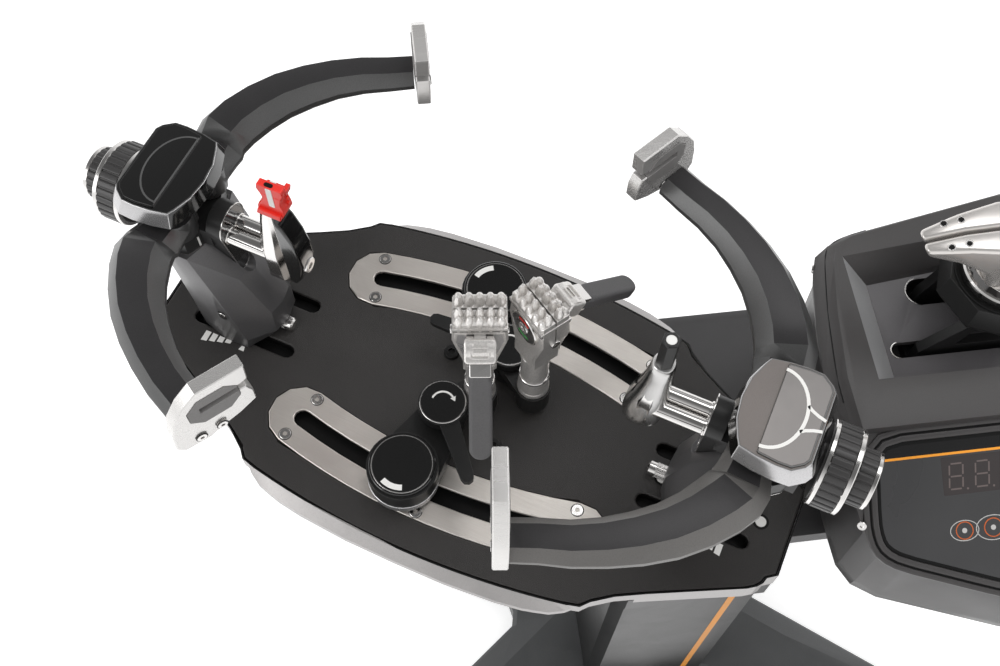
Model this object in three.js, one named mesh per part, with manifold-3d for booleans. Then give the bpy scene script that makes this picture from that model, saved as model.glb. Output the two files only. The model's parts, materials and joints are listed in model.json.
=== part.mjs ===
// Racket stringing machine on a column stand: a turntable with two towers, four arms and two string clamps,
// and an electronic tension head beside it. Millimetres, +Z up, the origin under the middle of the whole
// machine on the floor.
import * as THREE from 'three';
import { mergeVertices } from 'three/addons/utils/BufferGeometryUtils.js';
import Module from 'manifold-3d';

const wasm = await Module();
wasm.setup();

// Clearances and cutter sizes
const seatGap = 0.3;
const slideGap = 0.4;
const overrun = 5;
const weldTolerance = 0.0005;
const half = 0.5;

// Sides of round pieces, by how large they are
const facets = { large: 28, medium: 20, small: 14, tiny: 8 };

// Overall places: heights are from the floor, the rest from the turntable's axis
const deckHeight = 900;
const turntableRest = THREE.MathUtils.degToRad(-31);

// Turntable deck, the black plate
const deck = { reach: 264, halfWidth: 131.5, thickness: 3, bulgeReach: 127, bulgeRadius: 678 };
const deckCornerShares = [
  [1, 0.27], [0.973, 0.31], [0.968, 0.345], [0.955, 0.378], [0.932, 0.411],
  [0.682, 0.669], [0.606, 0.753], [0.549, 0.837], [0.528, 0.885],
];

// Turntable casting, the silver-grey rim below the deck
const casting = {
  lip: 1.2, groove: 1, lipDrop: 0.6, depth: 13.5, channelDepth: 11, tongueDepth: 21.5, tongueLength: 89,
  flangeReach: deck.reach * 0.524, flangeHalfWidth: deck.halfWidth + 10, flangeDrop: 7.3,
  hubRadius: 62, hubDepth: 34, ribWidth: 9, ribDepth: 14, ribReach: deck.reach * 0.568, ribSpread: 78,
};
casting.tongueStart = deck.reach - casting.tongueLength;
const flangeShares = [
  [1, 0.823], [0.949, 0.873], [0.877, 0.915], [0.804, 0.936], [0.732, 0.954], [0.587, 0.975], [0.3, 0.996],
  [0, 1],
];

// Clamp rails: an arc band with an arc slot, about a centre on the far side of the turntable
const rail = { arcRadius: 484, middle: 83, halfWidth: 25, slotHalfWidth: 7, endReach: 117, slotReach: 114 };
rail.arcSteps = 11;
rail.endSteps = 6;
rail.rise = 0.6;
rail.bevel = 0.6;
rail.centre = rail.arcRadius - rail.middle;

// The point of a rail's slot at a given reach from the middle, on the front (-1) or rear (1) rail
const slotPoint = (u, side) => [u, side * (Math.sqrt(rail.arcRadius ** 2 - u ** 2) - rail.centre)];

// Slots in which the towers slide, measured from the deck's end, and the towers' keys that run in them
const towerSlot = { inner: deck.reach - 116, outer: deck.reach - 26, offset: 22.5, width: 11.5 };
const towerKey = { start: 4, end: 27, depth: 8, radius: towerSlot.width * half - slideGap };

// Towers, in a frame that starts at the cap's straight edge: x inwards, y across, z up from the deck
const tower = {
  leftReach: deck.reach - 42.6, rightReach: deck.reach - 56.2, bodyTop: 118, collarTop: 136, housingTop: 165,
};
tower.sections = [
  { z: seatGap, outer: -4, ridge: 38, nose: 48, outerHalf: 27, ridgeHalf: 33, noseHalf: 17 },
  { z: 14, outer: -5.5, ridge: 40, nose: 57, outerHalf: 27, ridgeHalf: 33, noseHalf: 15 },
  { z: 40, outer: -8, ridge: 33, nose: 56, outerHalf: 27, ridgeHalf: 33, noseHalf: 14 },
  { z: 79, outer: -12, ridge: 22, nose: 36, outerHalf: 28, ridgeHalf: 33, noseHalf: 15 },
  { z: 118, outer: -16, ridge: 10, nose: 15, outerHalf: 29, ridgeHalf: 33, noseHalf: 18 },
];

// Cap on a tower: half outline in the tower's frame, from its inner nose round to its outer edge
const cap = { bottom: 165.4, brim: 175.5, top: 178.2, flare: 4.5, brimInset: 0.3, topInset: 1.4 };
cap.halfOutline = [
  [20.3, 0], [18.5, 15.4], [13.2, 29], [10.5, 34], [-2, 36.5], [-15, 37.5], [-25, 37], [-33, 31], [-36, 26],
];

// Hub of a tower: collar, knob housing, drop-shaped face and the rods' bores
const hub = {
  collarShare: 0.84, housingInner: -18, housingOuter: -36, housingHalf: 23,
  faceInner: 20, faceOuter: 32, faceTop: 150, faceBottom: 76, faceHalf: 15.5, faceTipHalf: 6,
};
const pivot = { x: 2, y: 21, radius: 6 };

// Twin rods, the drive screw below them and how far they reach back into the tower
const rods = { radius: 6.1, spread: 6.3, z: 128, tail: -14, screwRadius: 3.6, screwZ: 116.5 };
rods.boreEnd = -33;

// Ribbed knobs on the tower's outer end
const knobAxisZ = 133;
const bigKnob = {
  radius: 30, ringRadius: 29, start: -44, end: -65, ribs: 20, ribDepth: 1.8, ringLength: 2.4,
  neckRadius: 12, boreRadius: 8,
};
const smallKnob = {
  radius: 20, ringRadius: 19.5, start: -65.3, end: -80, ribs: 14, ribDepth: 1.5, ringLength: 2, neckRadius: 7.6,
  neckLength: 14,
};

// Arms: centre line, widths and heights of the right tower's arm in the tower's frame
const arm = {
  stations: [
    { x: 2, y: 9, width: 20, bottom: 138, top: 157 },
    { x: 2, y: 21, width: 27, bottom: 138, top: 158 },
    { x: 0, y: 35, width: 36, bottom: 139, top: 158 },
    { x: -0.5, y: 45, width: 41, bottom: 140, top: 159 },
    { x: 1.3, y: 54, width: 42, bottom: 142, top: 168 },
    { x: 7.5, y: 66, width: 41, bottom: 144, top: 172 },
    { x: 17.8, y: 81.5, width: 38.5, bottom: 146, top: 174 },
    { x: 31, y: 96.5, width: 36, bottom: 149, top: 175.5 },
    { x: 46.8, y: 109.5, width: 33.5, bottom: 152, top: 176.5 },
    { x: 63.5, y: 120.5, width: 31, bottom: 155, top: 177 },
    { x: 82, y: 130, width: 29.5, bottom: 157, top: 177 },
    { x: 100, y: 136.6, width: 28.5, bottom: 159, top: 177 },
    { x: 116.8, y: 143.9, width: 28, bottom: 160.5, top: 177 },
  ],
  rootRadius: 14, boreRadius: 6.4,
};
arm.sectionShares = { floorHalf: 0.34, roofHalf: 0.27, waistLow: 0.3, waistHigh: 0.52 };
const leftArmOpening = THREE.MathUtils.degToRad(5.75);

// C-shaped frame supports on the arms' ends: w runs outwards from the tip, z up from the deck
const frameSupport = {
  tipX: 137.6, tipY: 111.7, heading: 114.8, reach: 57.4, foot: 163, height: 60.5, thickness: 10, bevel: 0.8,
};
const supportShares = [
  [0, 1], [0.0087, 0.7372], [0.101, 0.7008], [0.5052, 0.7008], [0.547, 0.6479], [0.5052, 0.595],
  [0.0523, 0.595], [-0.007, 0.4463], [-0.007, 0.2479], [0.2091, 0.1405], [0.4111, 0.0826], [0.6098, 0],
  [0.9199, 0.0165], [1, 0.1322], [0.9756, 0.4132], [0.9181, 0.6281], [0.7666, 0.843], [0.5749, 1],
];
frameSupport.outline = supportShares.map(([a, b]) => [a * frameSupport.reach, frameSupport.foot + b * frameSupport.height]);
frameSupport.pad = { start: 8, end: 42.6, bottom: 186, top: 214, corner: 8, proud: 0.6, slotTop: 205.1, slotFloor: 199.3 };

// Inner supports: a tapering block on the rods, and what stands on it
const leftBlock = {
  rings: [
    { z: 93, start: 66, end: 82, halfWidth: 7 },
    { z: 104, start: 58, end: 84, halfWidth: 12.5 },
    { z: 136, start: 59, end: 82, halfWidth: 13 },
    { z: 172, start: 64, end: 77, halfWidth: 8 },
    { z: 179.7, start: 66, end: 75, halfWidth: 6 },
  ],
  cornerShare: 0.3,
};
const adapter = {
  bottom: 180, top: 214, start: 63, end: 88, halfWidth: 12, throatDepth: 10, throatHalf: 4.5, ledgeTop: 188,
  ledge: 3, holeRadius: 3.2, holeX: 71,
};
const rightBlock = {
  rings: [
    { z: 99, start: 66, end: 88, halfWidth: 9 },
    { z: 112, start: 62, end: 90, halfWidth: 13.5 },
    { z: 138, start: 63, end: 87, halfWidth: 13 },
    { z: 160, start: 64, end: 81, halfWidth: 8.5 },
    { z: 166.7, start: 65, end: 79, halfWidth: 7 },
  ],
  cornerShare: 0.34,
};
const peg = { x: 71.8, bottom: 167, top: 213, acrossFlats: 16, socketRadius: 5, socketDepth: 12, corners: 6 };

// String clamps: plan places of the shoe, the lock lever's disc, the post and the teeth, from the turntable's axis
const frontClamp = {
  shoe: slotPoint(-19, -1), disc: [-11.4, -27.5], post: [8.1, -3.2], teethTurn: 25, leverTurn: -48,
};
const rearClamp = {
  shoe: slotPoint(-17, 1), disc: [15, 37.5], post: [43.7, 17.5], teethTurn: 149, leverTurn: 182,
};
const shoe = { studRadius: 5.5, studTop: 5.5, nutRadius: 12, nutThickness: 6, flangeRadius: 12.5, flangeTop: 5 };
const clampBase = {
  bottom: 5.4, capRadius: 27, discRadius: 16.8, top: 30, capTop: 33, capInset: 2.2, discSeat: 20,
  discAxleRadius: 5.5, discAxleTop: 34,
};
const link = {
  bottom: 20.5, top: 30.6, discRadius: 14, postRadius: 13.5, footBottom: 8, footTop: 30.6, footRadius: 13.5, bore: 6,
};
link.boreAtPost = 8.4;
const lever = {
  bottom: 31, top: 40, armBottom: 33.8, armTop: 39, discRadius: 19, length: 62, rootHalf: 8.5, tipHalf: 5, bore: 6,
};
const post = {
  spigotRadius: 8, bottom: 12, shoulder: link.footTop + seatGap, footRadius: 11.5, waistRadius: 10.5, waistZ: 50, top: 90,
  topRadius: 10.5,
};
const head = {
  bottom: post.top + seatGap, neckTop: 106, shoulder: 136, top: 161, neckHalf: 12, shoulderHalf: 19.5, jawHalf: 18,
  depthHalf: 12, bevel: 1.6, jawGap: 1.4, gapBottom: 126, teeth: 5, pitch: 7.2, toothHeight: 8.5, toothRadius: 3.4,
  toothTipRadius: 1.5, toothRow: 4.6, lugZ: 143, lugRadius: 5.4, lugHalf: 4, pinRadius: 2.4, pinHalf: 8,
};
const handle = {
  rootRadius: 9, rootHalf: 9.5, reach: 67, slope: 33, gripHalf: 8, gripThickness: 11, gripBevel: 2.5,
};
head.hingeY = -head.depthHalf - handle.rootRadius - seatGap;

// Neck beam that carries the turntable and the tension head
const neck = {
  top: -102, topHalf: 97, shoulder: 5, sideHalf: 109.5, sideDrop: 24, floorHalf: 66, floor: -165,
  left: -84, right: 610, noseShare: 0.62, bearingRadius: 56, bearingBaseRadius: 74, bearingBase: 14,
  spindleRadius: 15, spindleTop: -24, pocketWall: 9, ribSpacing: 96, ribWidth: 6,
};

// Column, mast and base, about the column's own axis
const column = {
  x: 232, length: 171, width: 144, chamfer: 12, wall: 6, bottom: 79, top: 520, collarHeight: 38, collarProud: 7,
};
const mast = { length: 138, width: 111, chamfer: 10, bottom: 298, guideHeight: 30, wall: 8, capThickness: 15 };
const lockLever = { z: 500, boltRadius: 6, bossRadius: 13, bossLength: 22, gripLength: 78, gripRadius: 7, tipRadius: 11 };
const base = {
  centreY: 40, legReach: 400, legDepth: 325, bottom: 12, skirtTop: 40, shoulderTop: 58, domeTop: 78.7,
  footInset: 42, footRadius: 24, bevel: 20, notchLength: 31, notchDepth: 6,
  hollowShare: 0.78, hollowTopShare: 0.5, wall: 10, ribSpacing: 90, ribWidth: 6,
};
// One quarter of the base's outline, as shares of its reach and depth, from its side waist to its front waist
const baseOutlineShares = [
  [0.43, 0], [0.44, 0.06], [0.82, 0.42], [0.985, 0.6], [1.01, 0.68], [1, 0.77], [0.87, 0.96], [0.82, 0.99],
  [0.75, 0.985], [0.45, 0.63], [0.22, 0.47], [0, 0.43],
];

// Tension head: its outline is in shares of its box, counter-clockwise from the front left
const console_ = { left: 260, right: 655, front: -250, rear: 115 };
const consoleShares = [
  [0.005, 0.326], [0.008, 0.266], [0.033, 0.219], [0.068, 0.184], [0.318, 0.088], [0.478, 0.033], [0.656, 0],
  [0.835, 0.019], [0.96, 0.11], [1, 0.247], [1, 0.795], [0.967, 0.918], [0.873, 0.986], [0.707, 1],
  [0.42, 0.932], [0.095, 0.866], [0.055, 0.846], [0.042, 0.81], [0.02, 0.69], [0.003, 0.54],
];
// Part of its length over which the left wall leans in below the rim
const consoleLeftShare = 0.25;
// How far each ring of the head's shell is drawn in towards its middle, bottom to top
const consoleRings = [
  { z: neck.top + seatGap, inset: 44, leftInset: 18 }, { z: -60, inset: 7, leftInset: 20 },
  { z: -40, inset: 2, leftInset: 20 }, { z: 30, inset: 2, leftInset: 18 }, { z: 70, inset: 1, leftInset: 5 },
  { z: 84, inset: 0, leftInset: 0 }, { z: 89, inset: 4, leftInset: 4 },
];
const panelSlope = { hingeY: -95, hingeZ: 79, drop: 0.52, lowY: -330 };
const panel = { thickness: 2.4, proud: 0.7, gap: 0.4 };
const panelShares = [
  [0.0506, 0.4], [0.0405, 0.2521], [0.0582, 0.2164], [0.2506, 0.1479], [0.481, 0.0795],
  [0.6582, 0.0521], [0.8101, 0.0712], [0.8759, 0.1288], [0.8911, 0.2329], [0.8785, 0.3781],
  [0.8557, 0.4],
];
const inHead = ([a, b]) => [
  console_.left + a * (console_.right - console_.left), console_.front + b * (console_.rear - console_.front),
];
panel.outline = panelShares.map(inHead);
const troughShares = [[0.1342, 0.5425], [0.8759, 0.5425], [0.8759, 0.8658], [0.1342, 0.7781]];
const trough = { floorZ: 60, topZ: 89, floor: troughShares.map(inHead), flare: [24, 12] };
const slots = { frontY: -24, rearY: 24, frontStart: 317, rearStart: 342, end: 598, frontHalf: 6.5, rearHalf: 11.5 };
const switchSeat = { x: 560, z: 10, halfLength: 13, halfHeight: 9.5, depth: 7 };
const rocker = { proud: 2.5, pivotRadius: 4, thickness: 7 };

// Tension carriage and gripper
const carriage = {
  left: 336, rearLeft: 350, right: 446, plateHalf: 4, footZ: 30, slotZ: 62, topZ: 96, topLeft: 362, topRight: 418,
  windowInset: 13, bridgeHalf: 36, bridgeTop: 40,
};

// Hollow below the trough's floor, in which the carriage's foot runs
const cavity = { left: 312, right: 604, halfWidth: 40, bottom: carriage.footZ - seatGap, top: 55 };
const housing = { x: 388, radius: 45, bottom: 96.3, shoulder: 106, top: 124, sides: 8, ringRadius: 31, ringTop: 142 };
const gripper = {
  tip: 307, tail: 446, bottom: 142.3, throatZ: 158, top: 186, halfWidth: 21, tipHalf: 9, beakHalf: 14, jawGap: 2.4,
};

// Turns a geometry into indexed vertices and triangles, without slivers that share a vertex
function weld(geometry) {
  const bare = new THREE.BufferGeometry();
  bare.setAttribute('position', geometry.getAttribute('position').clone());
  if (geometry.index) bare.setIndex(geometry.index.clone());
  const merged = mergeVertices(bare, weldTolerance);
  const corners = Array.from(merged.index.array);
  const kept = [];
  for (let i = 0; i < corners.length; i += 3) {
    const [a, b, c] = corners.slice(i, i + 3);
    if (a !== b && b !== c && c !== a) kept.push(a, b, c);
  }
  merged.setIndex(kept);
  return merged;
}

function toSolid(geometry) {
  const welded = weld(geometry);
  const triVerts = new Uint32Array(welded.index.array);
  const vertProperties = new Float32Array(welded.getAttribute('position').array);
  const solid = new wasm.Manifold(new wasm.Mesh({ numProp: 3, vertProperties, triVerts }));
  if (solid.volume() > 0) return solid;
  return new wasm.Manifold(new wasm.Mesh({ numProp: 3, vertProperties, triVerts: triVerts.reverse() }));
}

function toGeometry(solid) {
  const mesh = solid.getMesh();
  const geometry = new THREE.BufferGeometry();
  const positions = [];
  for (let v = 0; v < mesh.numVert; v += 1) {
    positions.push(...mesh.vertProperties.slice(v * mesh.numProp, v * mesh.numProp + 3));
  }
  geometry.setAttribute('position', new THREE.Float32BufferAttribute(positions, 3));
  geometry.setIndex(Array.from(mesh.triVerts));
  return geometry;
}

const combine = (operation, first, others) => toGeometry(
  others.reduce((solid, other) => solid[operation](toSolid(other)), toSolid(first)),
);
const join = (first, ...others) => combine('add', first, others);
const cut = (first, ...others) => combine('subtract', first, others);
const common = (first, ...others) => combine('intersect', first, others);

// Drops points that lie on the one before them
function cleanOutline(points) {
  const isNew = ([x, y], i, all) => {
    const [px, py] = all[(i + all.length - 1) % all.length];
    return Math.hypot(x - px, y - py) > weldTolerance;
  };
  return points.filter(isNew);
}

// A flat plate between two heights, with its outline in the XY plane
function slab(points, bottom, top, { holes = [], bevel = 0 } = {}) {
  const shape = new THREE.Shape(cleanOutline(points).map(([x, y]) => new THREE.Vector2(x, y)));
  for (const hole of holes) {
    shape.holes.push(new THREE.Path(cleanOutline(hole).map(([x, y]) => new THREE.Vector2(x, y))));
  }
  const options = { depth: top - bottom - 2 * bevel, bevelEnabled: bevel > 0, bevelSegments: 1 };
  Object.assign(options, { bevelSize: bevel, bevelThickness: bevel, bevelOffset: -bevel, steps: 1 });
  return new THREE.ExtrudeGeometry(shape, options).translate(0, 0, bottom + bevel);
}

// A plate whose outline is in the XZ plane, between two values of y
const slabXZ = (points, front, rear, options) => slab(points, -rear, -front, options).rotateX(Math.PI * half);

// A plate whose outline is in the YZ plane, between two values of x
function slabYZ(points, left, right, options) {
  return slab(points, left, right, options).rotateX(Math.PI * half).rotateZ(Math.PI * half);
}

function block(left, right, front, rear, bottom, top) {
  const geometry = new THREE.BoxGeometry(right - left, rear - front, top - bottom);
  return geometry.translate((left + right) * half, (front + rear) * half, (bottom + top) * half);
}

// A turned body about Z from pairs of radius and height
function turned(profile, sides = facets.large) {
  const points = profile.map(([radius, z]) => new THREE.Vector2(radius, z));
  return new THREE.LatheGeometry(points, sides).rotateX(Math.PI * half);
}

const drum = (radius, bottom, top, sides) => turned([[0, bottom], [radius, bottom], [radius, top], [0, top]], sides);

// Lays a body made about Z along X instead: what was up then points to +X
const alongX = (geometry) => geometry.rotateY(Math.PI * half);

// Joins rings of 3-D points, all with as many points in the same order, and closes both ends
function loft(rings, capPlane = ([x, y]) => [x, y]) {
  const count = rings[0].length;
  const positions = rings.flat().flat();
  const index = [];
  for (let r = 0; r + 1 < rings.length; r += 1) {
    for (let i = 0; i < count; i += 1) {
      const a = r * count + i;
      const b = r * count + ((i + 1) % count);
      index.push(a, b, a + count, b, b + count, a + count);
    }
  }
  for (const [r, isLast] of [[0, false], [rings.length - 1, true]]) {
    const contour = rings[r].map((p) => new THREE.Vector2(...capPlane(p)));
    for (const [a, b, c] of THREE.ShapeUtils.triangulateShape(contour, [])) {
      const corners = [a, b, c].map((i) => i + r * count);
      index.push(...(isLast ? corners : corners.reverse()));
    }
  }
  const geometry = new THREE.BufferGeometry();
  geometry.setAttribute('position', new THREE.Float32BufferAttribute(positions, 3));
  geometry.setIndex(index);
  return geometry;
}

const scaled = (shares, x, y) => shares.map(([a, b]) => [a * x, b * y]);
const ringAt = (outline, z) => outline.map(([x, y]) => [x, y, z]);

// Mirrors one quarter of an outline, given from the x axis round to the y axis, into the whole of it
function fromQuarter(quarter) {
  const back = [...quarter].reverse();
  const flipped = (list, sx, sy) => list.map(([x, y]) => [x * sx, y * sy]);
  return cleanOutline([
    ...quarter, ...flipped(back, -1, 1), ...flipped(quarter, -1, -1), ...flipped(back, 1, -1),
  ]);
}

function arcPoints(cx, cy, radius, from, to, steps) {
  const points = [];
  for (let i = 0; i <= steps; i += 1) {
    const angle = from + ((to - from) * i) / steps;
    points.push([cx + radius * Math.cos(angle), cy + radius * Math.sin(angle)]);
  }
  return points;
}

// Two round ends joined by straight sides: a slot, a link or a lever seen from above
function roundedBar([ax, ay], [bx, by], radiusA, radiusB, steps = 8) {
  const heading = Math.atan2(by - ay, bx - ax);
  const lean = Math.asin((radiusA - radiusB) / Math.hypot(bx - ax, by - ay));
  const side = Math.PI * half - lean;
  return [
    ...arcPoints(bx, by, radiusB, heading - side, heading + side, steps),
    ...arcPoints(ax, ay, radiusA, heading + side, heading + 2 * Math.PI - side, steps),
  ];
}

// The band of a rail or of its slot, about the arc's centre at the origin, with its middle towards -y
function arcBand(halfWidth, reach, arcSteps, endSteps) {
  const sweep = Math.asin(reach / rail.arcRadius);
  const down = -Math.PI * half;
  const end = (side) => [
    rail.arcRadius * Math.cos(down + side * sweep), rail.arcRadius * Math.sin(down + side * sweep),
  ];
  const outer = arcPoints(0, 0, rail.arcRadius + halfWidth, down - sweep, down + sweep, arcSteps);
  const inner = arcPoints(0, 0, rail.arcRadius - halfWidth, down + sweep, down - sweep, arcSteps);
  const right = arcPoints(...end(1), halfWidth, down + sweep, down + sweep + Math.PI, endSteps);
  const left = arcPoints(...end(-1), halfWidth, down - sweep + Math.PI, down - sweep + 2 * Math.PI, endSteps);
  return [...outer, ...right.slice(1, -1), ...inner, ...left.slice(1, -1)];
}

const frontRailPlace = (geometry) => geometry.translate(0, rail.centre, 0);
const rearRailPlace = (geometry) => geometry.translate(0, rail.centre, 0).rotateZ(Math.PI);

// Finishes, one to each material of the machine
const finish = (color, roughness, metalness) => ({ color, roughness, metalness });
const finishes = {
  deckBlack: finish(0x1a1919, 0.75, 0.1),
  castingGrey: finish(0x9a9b9e, 0.45, 0.6),
  steel: finish(0xb7b0a8, 0.35, 0.9),
  towerGrey: finish(0x4a4a4d, 0.5, 0.4),
  collarBlack: finish(0x131313, 0.5, 0.2),
  capSilver: finish(0x8d8d8f, 0.3, 0.7),
  armDark: finish(0x2b2b2d, 0.5, 0.3),
  aluminium: finish(0xc9c9c9, 0.3, 0.9),
  padGrey: finish(0x6d6d6c, 0.7, 0),
  chrome: finish(0xdedede, 0.1, 1),
  knobBlack: finish(0x242323, 0.5, 0.1),
  adapterRed: finish(0xe8302a, 0.4, 0),
  clampSilver: finish(0xb9b7b4, 0.3, 0.85),
  clampBlack: finish(0x171717, 0.4, 0.2),
  gripGrey: finish(0x4b4b4c, 0.8, 0),
  consoleGrey: finish(0x38383a, 0.6, 0.1),
  glassBlack: finish(0x0d0d0e, 0.15, 0),
  neckBlack: finish(0x262527, 0.6, 0.2),
  columnGrey: finish(0x3d3d3f, 0.35, 0.6),
  baseGrey: finish(0x47484a, 0.7, 0.2),
  rubber: finish(0x151515, 0.9, 0),
};

function piece(group, name, geometry, finishName) {
  const mesh = new THREE.Mesh(geometry, new THREE.MeshStandardMaterial(finishes[finishName]));
  mesh.name = name;
  mesh.geometry = toGeometry(toSolid(geometry));
  mesh.geometry.computeVertexNormals();
  group.add(mesh);
  return mesh;
}

// Deck and casting of the turntable
function deckEdge(u) {
  return deck.halfWidth - (u * u) / (2 * deck.bulgeRadius);
}

function deckOutline(margin) {
  const bulge = [];
  const bulgeSteps = 8;
  for (let i = bulgeSteps; i >= 0; i -= 1) {
    const u = (deck.bulgeReach * i) / bulgeSteps;
    bulge.push([u, deckEdge(u)]);
  }
  const quarter = [...scaled(deckCornerShares, deck.reach, deck.halfWidth), ...bulge];
  const growX = (deck.reach + margin) / deck.reach;
  const growY = (deck.halfWidth + margin) / deck.halfWidth;
  return scaled(fromQuarter(quarter), growX, growY);
}

function railCutters(halfWidth, reach, bottom, top) {
  const band = () => slab(arcBand(halfWidth, reach, rail.arcSteps, rail.endSteps), bottom, top);
  return [frontRailPlace(band()), rearRailPlace(band())];
}

function towerSlotCutters(bottom, top) {
  const radius = towerSlot.width * half;
  const cutters = [];
  for (const side of [-1, 1]) {
    for (const v of [-towerSlot.offset, towerSlot.offset]) {
      const from = [side * (towerSlot.inner + radius), v];
      const to = [side * (towerSlot.outer - radius), v];
      cutters.push(slab(roundedBar(from, to, radius, radius, 5), bottom, top));
    }
  }
  return cutters;
}

function addTurntable(group) {
  const plate = slab(deckOutline(0), -deck.thickness, 0);
  const railSeat = railCutters(rail.halfWidth + seatGap * 2, rail.endReach, -deck.thickness * 2, overrun);
  piece(group, 'turntable_deck', cut(plate, ...railSeat, ...towerSlotCutters(-overrun, overrun)), 'deckBlack');

  const rimTop = -casting.lipDrop;
  const rim = deckOutline(casting.groove + casting.lip);
  const tongueEnds = [-1, 1].map((side) => common(
    slab(rim, -casting.tongueDepth, rimTop),
    side > 0
      ? block(casting.tongueStart, deck.reach * 2, -deck.reach, deck.reach, -deck.reach, deck.reach)
      : block(-deck.reach * 2, -casting.tongueStart, -deck.reach, deck.reach, -deck.reach, deck.reach),
  ));
  const flange = fromQuarter(scaled(flangeShares, casting.flangeReach, casting.flangeHalfWidth));
  const topEdge = flange.map(([u, v]) => {
    const edge = Math.min(Math.abs(v), deckEdge(u) + casting.groove + casting.lip);
    return [u, Math.sign(v) * edge];
  });
  const crescents = loft([
    ringAt(flange, -casting.depth), ringAt(flange, -casting.flangeDrop), ringAt(topEdge, rimTop),
  ]);
  const hubDrum = drum(casting.hubRadius, -casting.depth - casting.hubDepth, -casting.depth * half, facets.large);
  const ribs = [-1, 1].map((side) => slab(
    roundedBar([-casting.ribReach, side * casting.ribSpread * half], [casting.ribReach, -side * casting.ribSpread * half],
      casting.ribWidth * half, casting.ribWidth * half, 3),
    -casting.depth - casting.ribDepth, -casting.depth * half,
  ));
  const recess = slab(deckOutline(casting.groove), -deck.thickness - seatGap, overrun);
  const bore = drum(neck.spindleRadius + slideGap, -casting.depth - casting.hubDepth - overrun, neck.spindleTop + slideGap, facets.medium);
  // The nuts of the clamps and the keys of the towers run in closed channels below the slots
  const channels = [
    ...railCutters(shoe.nutRadius + slideGap * 2, rail.slotReach, -casting.channelDepth, overrun),
    ...towerSlotCutters(-casting.channelDepth, overrun),
  ];
  const body = cut(
    join(slab(rim, -casting.depth, rimTop), ...tongueEnds, crescents, hubDrum, ...ribs),
    recess, bore, ...channels,
  );
  piece(group, 'turntable_casting', body, 'castingGrey');

  for (const [name, place] of [['clamp_rail_front', frontRailPlace], ['clamp_rail_rear', rearRailPlace]]) {
    const plan = arcBand(rail.halfWidth, rail.endReach, rail.arcSteps, rail.endSteps);
    const slot = arcBand(rail.slotHalfWidth, rail.slotReach, rail.arcSteps, rail.endSteps).reverse();
    const strip = slab(plan, -deck.thickness, rail.rise, { holes: [slot], bevel: rail.bevel });
    piece(group, name, place(strip), 'steel');
  }
}

// Towers
const mirroredHalf = (points) => cleanOutline([
  ...points, ...[...points].reverse().map(([x, y]) => [x, -y]),
]);

function drawnIn(outline, amount) {
  const reach = Math.max(...outline.map(([x, y]) => Math.hypot(x, y)));
  return scaled(outline, 1 - amount / reach, 1 - amount / reach);
}

// Bores of the twin rods and of the screw below them
function rodBores() {
  const bore = (radius) => alongX(drum(radius + slideGap, rods.boreEnd, hub.faceOuter * 2, facets.small));
  return [
    ...[-1, 1].map((s) => bore(rods.radius).translate(0, s * rods.spread, rods.z)),
    bore(rods.screwRadius).translate(0, 0, rods.screwZ),
  ];
}

function addTower(group, side) {
  const sectionRing = ({ z, outer, ridge, nose, outerHalf, ridgeHalf, noseHalf }) => {
    const middle = (outer + ridge) * half;
    const points = [[nose, noseHalf], [ridge, ridgeHalf], [middle, ridgeHalf], [outer, outerHalf]];
    return ringAt(mirroredHalf([[nose + noseHalf * 0.18, 0], ...points]), z);
  };
  const shell = loft(tower.sections.map(sectionRing));
  const lowest = tower.sections[0];
  const faceLean = slabYZ(dropOutline(seatGap), hub.faceInner - hub.faceOuter, hub.faceOuter * 2);
  const keys = [-1, 1].map((s) => slab(
    roundedBar([towerKey.start, s * towerSlot.offset], [towerKey.end, s * towerSlot.offset], towerKey.radius, towerKey.radius, 5),
    -towerKey.depth, lowest.z + overrun,
  ));
  piece(group, `tower_body_${side}`, join(cut(shell, faceLean, ...rodBores()), ...keys), 'towerGrey');

  const capOutline = mirroredHalf(cap.halfOutline);
  const collar = slab(scaled(capOutline, hub.collarShare, hub.collarShare), tower.bodyTop + seatGap, tower.collarTop);
  const knobHousing = block(hub.housingOuter, hub.housingInner, -hub.housingHalf, hub.housingHalf,
    tower.bodyTop + seatGap, tower.housingTop);
  const pins = [-1, 1].map((s) => drum(pivot.radius, tower.bodyTop + overrun, tower.housingTop, facets.small)
    .translate(pivot.x, s * pivot.y, 0));
  const face = slabYZ(dropOutline(0), hub.faceInner, hub.faceOuter);
  const faceNeck = block(lowest.outer, hub.faceInner + overrun * half, -hub.faceHalf + slideGap, hub.faceHalf - slideGap,
    tower.bodyTop + seatGap, tower.collarTop);
  const hubBody = cut(join(collar, knobHousing, ...pins, face, faceNeck), ...rodBores());
  piece(group, `tower_hub_${side}`, hubBody, 'collarBlack');

  const capBody = loft([
    ringAt(drawnIn(capOutline, -cap.flare), cap.bottom),
    ringAt(drawnIn(capOutline, -cap.brimInset), cap.brim),
    ringAt(drawnIn(capOutline, cap.topInset), cap.top),
  ]);
  piece(group, `tower_cap_${side}`, capBody, 'capSilver');
}

// The drop shape of the hub's face, in y and z: round at the top, drawn to a narrow foot
function dropOutline(margin) {
  const topCentre = hub.faceTop - hub.faceHalf;
  const footCentre = hub.faceBottom + hub.faceTipHalf;
  const radius = hub.faceHalf + margin;
  return roundedBar([0, topCentre], [0, footCentre], radius, hub.faceTipHalf + margin, facets.tiny);
}

function ribbedOutline(radius, ribs, depth) {
  const points = [];
  const steps = ribs * 3;
  for (let i = 0; i < steps; i += 1) {
    const angle = (i * 2 * Math.PI) / steps;
    const isValley = i % 3 === 2;
    const r = isValley ? radius - depth : radius;
    points.push([r * Math.cos(angle), r * Math.sin(angle)]);
  }
  return points;
}

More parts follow.
